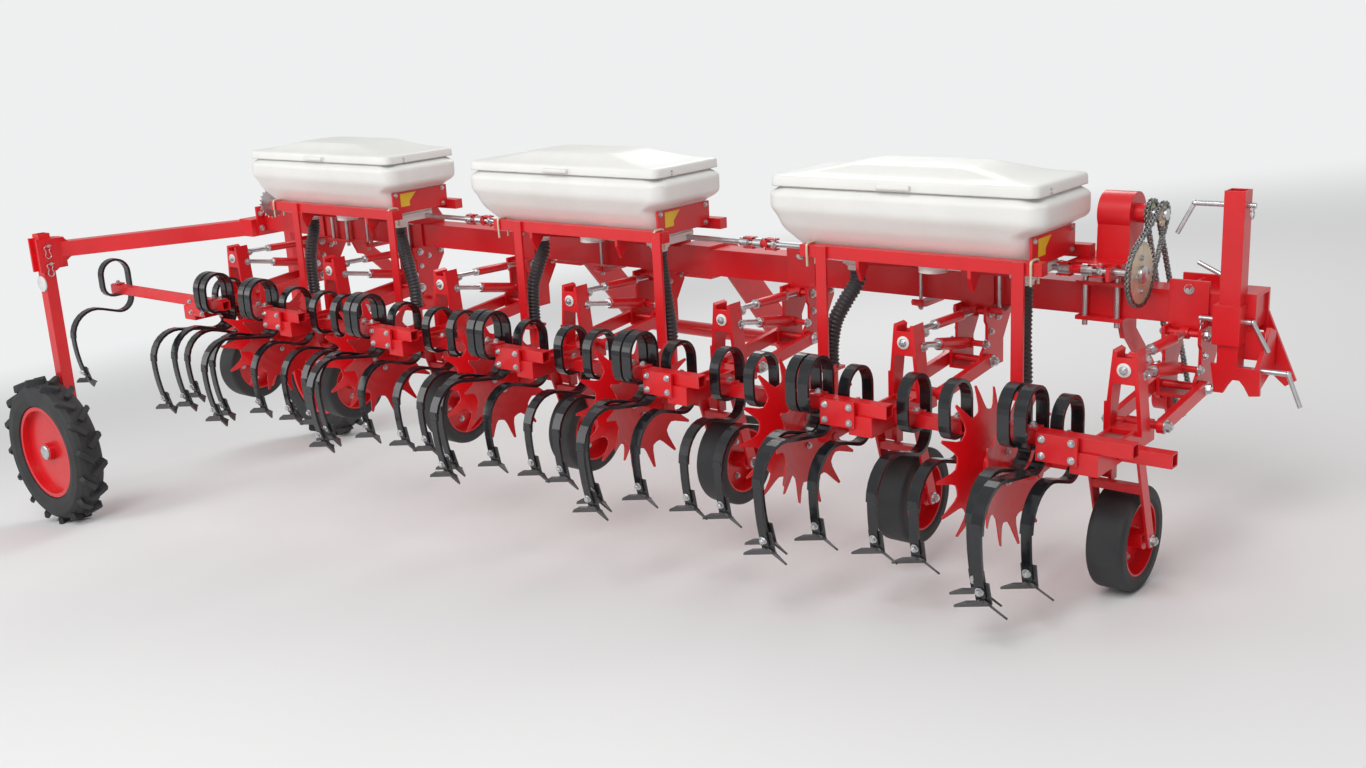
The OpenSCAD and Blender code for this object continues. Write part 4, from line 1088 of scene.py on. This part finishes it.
@dataclass
class Section:
    """Fastenings, link rods and the tower washer of one section."""

    x: float
    index: int
    pin_reach: float = 0.082
    low_front: Flat = (-0.110, 0.510)
    low_rear: Flat = (-0.430, 0.478)
    up_front: Flat = (-0.080, 0.664)
    up_rear: Flat = (-0.467, 0.676)
    strut_front: Flat = (-0.120, 0.566)
    strut_rear: Flat = (-0.487, 0.636)
    tower: Flat = (-0.535, 0.656)

    def pins(self, bolts: Fasteners) -> None:
        """Nuts and heads on the linkage pins, the wheel axle and the bracket."""
        for s in (-1, 1):
            side = (s, 0, 0)
            for y, z in (self.low_front, self.low_rear):
                bolts.at((self.x + s * self.pin_reach, y, z), side, 1.5)
            for y, z in (self.up_front, self.strut_front):
                bolts.at((self.x + s * 0.060, y, z), side, 1.15)
            bolts.at((self.x + s * 0.034, *self.up_rear), side, 1.1)
            bolts.at((self.x + s * 0.041, *self.strut_rear), side, 1.1)
            bolts.at((self.x + s * 0.078, *LAYOUT.gauge_axle), side, 1.35)
            for y, z in ((-0.078, 0.600), (-0.030, 0.640), (0.040, 0.655)):
                bolts.at((self.x + s * 0.060, y, z), side, 0.85)
            for z in (0.690, 0.801):
                bolts.at((self.x + s * 0.044, 0.060, z), (0, 1, 0), 0.95)
        bolts.at((self.x, -0.060, 0.794), (0, -1, 0), 1.15)
        side = 1 if self.index == 0 else -1
        for across in (0.032, 0.118):
            for z in (0.464, 0.512):
                bolts.at((self.x + side * across, -0.800, z), (0, -1, 0), 0.8)

    def links(self, rods: Shape, washers: Shape) -> None:
        """Threaded rods of the upper link and the strut, and the tower's round washer."""
        for a, b, first, last in ((self.up_front, self.up_rear, 0.095, 0.130),
                                  (self.strut_front, self.strut_rear, 0.030, 0.170)):
            start, end = Vector((self.x, *a)), Vector((self.x, *b))
            along = (end - start).normalized()
            span = (end - start).length
            for low, high in ((0.015, first + 0.004), (span - last - 0.004, span - 0.015)):
                if high - low > 0.012:
                    rods.rod(tuple(start + along * low), tuple(start + along * high), 0.0096)
            for at in (first - 0.010, span - last - 0.002):
                if at > 0.03:
                    rods.tube([tuple(start + along * at), tuple(start + along * (at + 0.012))],
                              0.0175, 6)
        y, z = self.tower
        washers.tube([(self.x, y, z), (self.x, y - 0.0035, z)], 0.0205, 32)


@dataclass
class Sections:
    """All seven sections' small parts."""

    def build(self, bolts: Fasteners) -> None:
        """Makes the sections' rods, washers and fastenings."""
        rods, washers = Shape(), Shape()
        for i, x in enumerate(LAYOUT.sections()):
            part = Section(x, i)
            part.pins(bolts)
            part.links(rods, washers)
            bolts.at((x, part.tower[0] - 0.0035, part.tower[1]), (0, -1, 0), 0.95)
        rods.piece("link_rods", Coat.ZINC)
        washers.piece("tower_washers", Coat.WHITE, bevel=0.0008)


@dataclass
class Tines:
    """Clamps that hold the spring tines under their bars, and the shares' bolts."""

    bar: float = 0.040
    strip: float = 0.011
    rear: Flat = (-0.760, 0.506)
    front: Flat = (-0.640, 0.456)
    heel_radius: float = 0.115
    heel_back: float = -0.145
    heel_height: float = -0.185
    tail_radius: float = 0.600
    tip: float = 0.137
    long_reach: float = 0.067
    rear_x: tuple[tuple[float, ...], ...] = ((0.210, -0.620), *(((-0.210,),) * 6))
    front_x: tuple[tuple[float, ...], ...] = ((0.110,), *(((-0.100, 0.105, 0.243),) * 5),
                                              (-0.110,))
    long_x: tuple[float, ...] = (0.160, *((-0.165,) * 5), -0.160)

    def foot(self, bar: Flat, reach: float) -> tuple[Vector, Vector]:
        """Where a tine's tail ends and the way its front faces.

        Args:
            bar: The tool bar's Y and Z.
            reach: How much further back the tine's heel is.

        Returns:
            The end at X = 0 and the facing direction.
        """
        lean = math.asin((bar[1] + self.heel_height - self.tip) / self.tail_radius)
        back = self.heel_back - reach - self.heel_radius \
            + self.tail_radius * (1 - math.cos(lean))
        return (Vector((0.0, bar[0] + back, self.tip)),
                Vector((0.0, math.cos(lean), math.sin(lean))))

    def rows(self, i: int) -> list[tuple[float, Flat, float]]:
        """Section i's tines: place across the section, bar, and extra reach."""
        return [*((dx, self.rear, 0.0) for dx in self.rear_x[i]),
                *((dx, self.front, 0.0) for dx in self.front_x[i]),
                (self.long_x[i], self.rear, self.long_reach)]

    def build(self, bolts: Fasteners) -> None:
        """Makes the clamps and notes the bolts of every tine and share."""
        clamps = Shape()
        for i, x in enumerate(LAYOUT.sections()):
            for dx, bar, reach in self.rows(i):
                self.clamp(clamps, bolts, x + dx, bar)
                end, facing = self.foot(bar, reach)
                spot = end + Vector((x + dx, 0.0, 0.0)) + 0.022 * Vector(
                    (0.0, -facing.z, facing.y))
                for s, cover in ((1, 0.006), (-1, 0.0)):
                    bolts.at(tuple(spot + s * (self.strip / 2 + cover) * facing),
                             tuple(s * facing), 0.95)
        clamps.piece("tine_clamps", Coat.RED, bevel=0.0012)

    def clamp(self, shape: Shape, bolts: Fasteners, x: float, bar: Flat) -> None:
        """A saddle over the bar with the bolt that pulls the tine's strip up against it."""
        y, z = bar
        top = z + self.bar / 2
        bolts.at((x, y, top + 0.006), (0, 0, 1), 0.95)
        shape.box((x - 0.020, y - self.bar / 2 - 0.004, top),
                  (x + 0.020, y + self.bar / 2 + 0.004, top + 0.006))


# Wheels


@dataclass
class Wheels:
    """Nuts of gauge wheels, star discs and transport wheels, and the transport wheels' hub caps.
    """

    star: Point = (-0.350, -0.600, 0.340)
    transport: Point = (-3.440, 0.852, -0.382)

    def small(self, bolts: Fasteners) -> None:
        """The rim bolts of the gauge wheels, then the hub bolts of the star discs."""
        wheels = [(f"gauge_wheel_{i + 1}", x, *LAYOUT.gauge_axle, 0.004, 0.062, 0.9)
                  for i, x in enumerate(LAYOUT.sections())]
        discs = [(f"star_discs_{i}", LAYOUT.section(i) + self.star[0], *self.star[1:], 0.033,
                  0.047, 0.8) for i in range(1, LAYOUT.count)]
        for body, x, y, z, out, radius, size in wheels + discs:
            for s in (-1, 1):
                bolts.ring((x + s * out, y, z), (s, 0, 0), radius, 4, size, body)

    def road(self, bolts: Fasteners) -> None:
        """Wheel nuts and hub caps of the two transport wheels."""
        for s, body in ((-1, "transport_wheel_rear"), (1, "transport_wheel_front")):
            x, y, z = self.transport
            name = body.rsplit("_", 1)[1]
            for way in (-1, 1):
                bolts.ring((x, s * y + way * 0.004, z), (0, way, 0), 0.075, 5, 1.1, body)
            hub = Shape()
            hub.tube([(x, s * (y + 0.048), z), (x, s * (y + 0.060), z),
                      (x, s * (y + 0.066), z)], [0.040, 0.038, 0.024], 28)
            hub.piece("hub_cap_" + name, Coat.ZINC, body, bevel=0.001)

    def build(self, bolts: Fasteners) -> None:
        """Notes and makes everything on the wheels."""
        self.small(bolts)
        self.road(bolts)


# Drive


@dataclass
class Drive:
    """Roller chains, sprockets and joints of the metering drive."""

    top: Flat = (0.024, 1.000)
    hub: Flat = (0.350, 0.330)
    ring_x: float = 1.962
    chain_x: float = 1.926
    ring_radius: float = 0.095
    pinion_radius: float = 0.034
    hub_radius: float = 0.056
    pitch: float = 0.0159
    joints: tuple[Flat, ...] = ((1.712, 1.838), (-0.940, -0.820), (0.510, 0.630))

    def loop(self, x: float, a: Flat, ra: float, b: Flat, rb: float) -> list[Point]:
        """The closed line of a chain round two sprockets in a plane across X.

        Args:
            x: The plane's place.
            a: Middle of the first sprocket, in (Y, Z).
            ra: Its radius.
            b: Middle of the second sprocket.
            rb: Its radius.

        Returns:
            Points all the way round.
        """
        span = math.hypot(b[0] - a[0], b[1] - a[1])
        way = math.atan2(b[1] - a[1], b[0] - a[0])
        tilt = math.asin((ra - rb) / span)
        half = math.pi / 2 - tilt
        steps = 28
        turns = ((a, ra, way + half, math.tau - 2 * half), (b, rb, way - half, 2 * half))
        return [(x, y + r * math.cos(start + sweep * k / steps),
                 z + r * math.sin(start + sweep * k / steps))
                for (y, z), r, start, sweep in turns for k in range(steps + 1)]

    def sprocket(self, shape: Shape, x: float, at: Flat, radius: float, teeth: int) -> None:
        """A toothed disc across X."""
        outline = []
        for k in range(teeth):
            for share, r in ((-0.26, radius - 0.006), (-0.10, radius + 0.003),
                             (0.10, radius + 0.003), (0.26, radius - 0.006)):
                a = math.tau * (k + share) / teeth
                outline.append((at[0] + r * math.cos(a), at[1] + r * math.sin(a)))
        shape.plate(outline, x - 0.003, 0.006, "x")

    def cardan(self, tubes: Shape, crosses: Shape, low: float, high: float) -> None:
        """A short cardan shaft: a tube between two forks, each on a cross pin.

        Args:
            tubes: The painted tube and forks.
            crosses: The bare pins and shaft ends.
            low: X of the left joint's cross.
            high: X of the right joint's cross.
        """
        y, z = LAYOUT.meter_shaft
        tubes.rod((low + 0.030, y, z), (high - 0.030, y, z), 0.0135, 24)
        for x, way in ((low, 1), (high, -1)):
            inner, outer = sorted((x + way * 0.036, x - way * 0.012))
            for s in (-1, 1):
                tubes.box((inner, y - 0.013, z + s * 0.0175 - 0.003),
                          (outer, y + 0.013, z + s * 0.0175 + 0.003))
            inner, outer = sorted((x + way * 0.028, x + way * 0.036))
            tubes.box((inner, y - 0.013, z - 0.0205), (outer, y + 0.013, z + 0.0205))
            crosses.rod((x, y, z - 0.024), (x, y, z + 0.024), 0.006, 14)
            crosses.rod((x, y - 0.019, z), (x, y + 0.019, z), 0.006, 14)
            crosses.box((x - 0.009, y - 0.010, z - 0.010), (x + 0.009, y + 0.010, z + 0.010))

    def build(self, tree: ChainTree, bolts: Fasteners) -> None:
        """Makes sprockets, hubs, chains and cardan shafts."""
        wheels, hubs, tubes = Shape(), Shape(), Shape()
        second = self.pinion_radius + 0.006
        for x, at, r in ((self.ring_x, LAYOUT.meter_shaft, self.ring_radius),
                         (self.ring_x, self.top, self.pinion_radius),
                         (self.chain_x, self.top, second),
                         (self.chain_x, self.hub, self.hub_radius)):
            self.sprocket(wheels, x, at, r, max(round(math.tau * r / self.pitch), 9))
            hubs.rod((x - 0.014, *at), (x + 0.014, *at), max(0.28 * r, 0.018), 28)
        for low, high in self.joints:
            self.cardan(tubes, hubs, low, high)
        hubs.piece("drive_hubs", Coat.ZINC, bevel=0.0006)
        tubes.piece("cardan_tubes", Coat.RED, bevel=0.0008)
        sprockets = wheels.piece("sprockets", Coat.GOLD, bevel=0.0006)
        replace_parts(sprockets, "chain_drive")
        loops = [self.loop(self.ring_x, LAYOUT.meter_shaft, self.ring_radius, self.top,
                           self.pinion_radius),
                 self.loop(self.chain_x, self.top, second, self.hub, self.hub_radius)]
        seed = line_seed("chain_seed", loops, closed=True)
        tree.grow("drive_chains", seed, Coat.CHAIN, pitch=self.pitch, plate_height=0.014,
                  inner_width=0.008, plate_thickness=0.0020, roller_radius=0.0048,
                  side=tuple(LEAN.to_3x3() @ Vector((1, 0, 0))))
        bolts.ring((self.ring_x + 0.003, *LAYOUT.meter_shaft), (1, 0, 0), 0.050, 4, 0.7)


# Ends


@dataclass
class Ends:
    """Clips, clamp bolts, a reflector and plates at the two ends of the beam."""

    post_x: float = 2.218
    leg: Flat = (-3.440, -0.740)

    def clip(self, shape: Shape, at: Point, across: Point, drop: float = 0.05) -> None:
        """A hairpin clip through a pin's end, with its loop hanging.

        Args:
            shape: The wires' shape.
            at: Where the clip passes through the pin.
            across: The way that its two arms point.
            drop: How far its loop hangs.
        """
        start, way = Vector(at), Vector(across).normalized()
        down = Vector((0, 0, -1))
        line = [start - way * 0.018, start + way * 0.012, start + way * 0.022 + down * 0.010,
                start + way * 0.014 + down * drop * 0.5, start + way * 0.020 + down * drop,
                start + way * 0.004 + down * (drop + 0.012), start - way * 0.010 + down * drop,
                start - way * 0.003 + down * drop * 0.5, start - way * 0.010 + down * 0.012]
        shape.tube(smooth_path([tuple(p) for p in line], 5), 0.0022, 7)

    def build(self, bolts: Fasteners) -> None:
        """Makes the clips, the reflector and the blank plates."""
        wires = Shape()
        x, y = self.leg
        for z in (0.570, 0.660):
            self.clip(wires, (x + 0.052, y, z), (0, -1, 0))
            self.clip(wires, (x + 0.052, -y, z), (0, -1, 0))
        self.clip(wires, (self.post_x - 0.086, -0.082, 0.716), (0, -1, 0), 0.036)
        self.clip(wires, (self.post_x + 0.044, -0.082, 1.057), (0, -1, 0), 0.026)
        wires.piece("wire_clips", Coat.ZINC, smooth=60.0)
        rods = Shape()
        for middle in (1.810, -1.925):
            for s in (-1, 1):
                rods.rod((middle + s * 0.052, -0.068, 0.655), (middle + s * 0.052, -0.068, 0.815),
                         0.0088)
        rods.piece("clamp_bolts", Coat.ZINC)
        glass = Shape()
        glass.tube([(x, y - 0.031, 0.470), (x, y - 0.038, 0.470), (x, y - 0.041, 0.470)],
                   [0.040, 0.040, 0.034], 32)
        glass.piece("leg_reflector", Coat.GLASS)
        labels = Shape()
        labels.plate([(0.010, 0.742), (0.034, 0.742), (0.034, 0.766), (0.010, 0.766)],
                     -0.0512, 0.0012)
        labels.piece("beam_plates", Coat.PLATE)
        for s in (-1, 1):
            for z in (0.700, 0.770):
                bolts.at((LAYOUT.beam_left - 0.012, s * 0.070, z), (-1, 0, 0), 1.1)
                bolts.at((LAYOUT.beam_left, s * 0.070, z), (1, 0, 0), 1.1)


# Finishes on the frame


NODE_COATS: dict[str, Coat] = {
    "rear_tines": Coat.SPRING, "front_tines": Coat.SPRING, "rear_shares": Coat.SHARE,
    "front_shares": Coat.SHARE, "drive_shafts": Coat.ZINC, "lock_pins": Coat.ZINC,
    "chain_drive": Coat.CHAIN, "hoses": Coat.HOSE,
}
PREFIX_COATS: dict[str, Coat] = {
    "hopper_rails": Coat.RED, "hopper_": Coat.WHITE, "lid_": Coat.WHITE,
    "gauge_tyre": Coat.TYRE, "tyre_": Coat.TYRE,
}


def dress_frame() -> None:
    """Gives every node of the frame its finish."""
    for name, node in frame["nodes"].items():
        coat = NODE_COATS.get(name)
        if coat is None:
            coat = next((c for p, c in PREFIX_COATS.items() if name.startswith(p)), Coat.RED)
        material = coat.material()
        if not node.material_slots:
            node.data.materials.append(material)
        for slot in node.material_slots:
            slot.material = material
        log.info("%s: %s", name, coat.name)


# Camera and light


@dataclass(frozen=True)
class Studio:
    """Camera, lamps, floor and background."""

    eye: Point = (3.601, -4.283, 1.735)
    azimuth: float = 39.635
    dip: float = 15.246
    roll: float = -3.025
    lens: float = 38.190
    sensor: float = 36.0
    backdrop: Point = (0.86, 0.865, 0.87)
    floor_size: float = 60.0
    sky: float = 0.50

    def camera(self) -> None:
        """Stands the camera in the level frame and leans it with the machine."""
        a, p, r = (math.radians(v) for v in (self.azimuth, self.dip, self.roll))
        ahead = Vector((-math.sin(a) * math.cos(p), math.cos(a) * math.cos(p), -math.sin(p)))
        right = Vector((math.cos(a), math.sin(a), 0.0))
        up = right.cross(ahead)
        side = math.cos(r) * right + math.sin(r) * up
        top = -math.sin(r) * right + math.cos(r) * up
        turn = LEAN.to_3x3() @ Matrix((side, top, -ahead)).transposed()
        data = bpy.data.cameras.new("camera")
        data.lens = self.lens
        data.sensor_width = self.sensor
        data.sensor_fit = "HORIZONTAL"
        data.clip_start, data.clip_end = 0.05, 300.0
        camera = bpy.data.objects.new("camera", data)
        camera.matrix_world = Matrix.Translation(LEAN @ Vector(self.eye)) @ turn.to_4x4()
        show(camera)
        bpy.context.scene.camera = camera

    def lamp(self, name: str, at: Point, size: float, power: float, aim: Point) -> None:
        """Adds one soft area lamp aimed at a point."""
        data = bpy.data.lights.new(name, "AREA")
        data.shape = "DISK"
        data.size = size
        data.energy = power
        lamp = bpy.data.objects.new(name, data)
        lamp.location = at
        lamp.rotation_mode = "QUATERNION"
        lamp.rotation_quaternion = (Vector(aim) - Vector(at)).to_track_quat("-Z", "Y")
        show(lamp)

    def lamps(self) -> None:
        """A key lamp above the camera, a fill from the left and a rim from behind."""
        self.lamp("key", (3.2, -5.5, 6.0), 4.5, 300.0, (0.3, 0.0, 0.7))
        self.lamp("fill", (-4.5, -5.0, 3.8), 4.5, 120.0, (-0.8, 0.0, 0.6))
        self.lamp("rim", (-1.0, 5.0, 5.5), 4.0, 140.0, (0.0, 0.0, 0.8))

    def world(self) -> None:
        """A soft even light whose camera rays see the pale backdrop."""
        world = bpy.data.worlds.new("studio")
        world.use_nodes = True
        world.node_tree.nodes.clear()
        graph = Graph(world.node_tree)
        seen = graph.add("ShaderNodeBackground", {"Color": (*self.backdrop, 1.0),
                                                  "Strength": 1.0})
        soft = graph.add("ShaderNodeBackground", {"Color": (1.0, 1.0, 1.0, 1.0),
                                                  "Strength": self.sky})
        rays = graph.add("ShaderNodeLightPath")
        graph.blend(rays.outputs["Is Camera Ray"], soft, seen, "ShaderNodeOutputWorld")
        bpy.context.scene.world = world

    def floor(self) -> None:
        """A pale floor that fades into the backdrop far from the machine."""
        half = self.floor_size / 2
        mesh = bpy.data.meshes.new("floor")
        mesh.from_pydata([(-half, -half, 0), (half, -half, 0), (half, half, 0),
                          (-half, half, 0)], [], [(0, 1, 2, 3)])
        floor = bpy.data.objects.new("floor", mesh)
        material = bpy.data.materials.new("floor")
        material.use_nodes = True
        material.node_tree.nodes.clear()
        graph = Graph(material.node_tree)
        where = graph.add("ShaderNodeTexCoord")
        away = graph.add("ShaderNodeVectorMath", operation="LENGTH")
        graph.link(where.outputs["Object"], away.inputs[0])
        fade = graph.remap(away.outputs["Value"], {"From Min": 4.5, "From Max": 13.0},
                           interpolation_type="SMOOTHSTEP")
        near = graph.add("ShaderNodeBsdfDiffuse", {"Color": (0.80, 0.80, 0.80, 1.0)})
        far = graph.add("ShaderNodeEmission", {"Color": (*self.backdrop, 1.0),
                                               "Strength": 1.0})
        graph.blend(fade, near, far, "ShaderNodeOutputMaterial")
        mesh.materials.append(material)
        show(floor)

    def build(self) -> None:
        """Sets up the whole studio."""
        bpy.context.scene.view_settings.view_transform = "Standard"
        self.camera()
        self.lamps()
        self.world()
        self.floor()


# Main


def corners(box: tuple[Vector, Vector]) -> list[list[float]]:
    """A box's two corners as plain lists."""
    return [list(box[0]), list(box[1])]


def main() -> None:
    """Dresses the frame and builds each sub-assembly."""
    logging.basicConfig(level=logging.INFO, format="%(message)s")
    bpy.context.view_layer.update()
    Studio().build()
    dress_frame()
    bolts = Fasteners()
    for k, side in ((-1, "left"), (0, "middle"), (1, "right")):
        Hopper(side, LAYOUT.hopper(k)).build(bolts)
        HopperStand(side, LAYOUT.hopper(k)).build(bolts)
    Hoses().build(RibbedTree())
    Sections().build(bolts)
    Tines().build(bolts)
    Wheels().build(bolts)
    Drive().build(ChainTree(), bolts)
    Ends().build(bolts)
    bolts.build(FastenerTree())


if __name__ == "__main__":
    main()
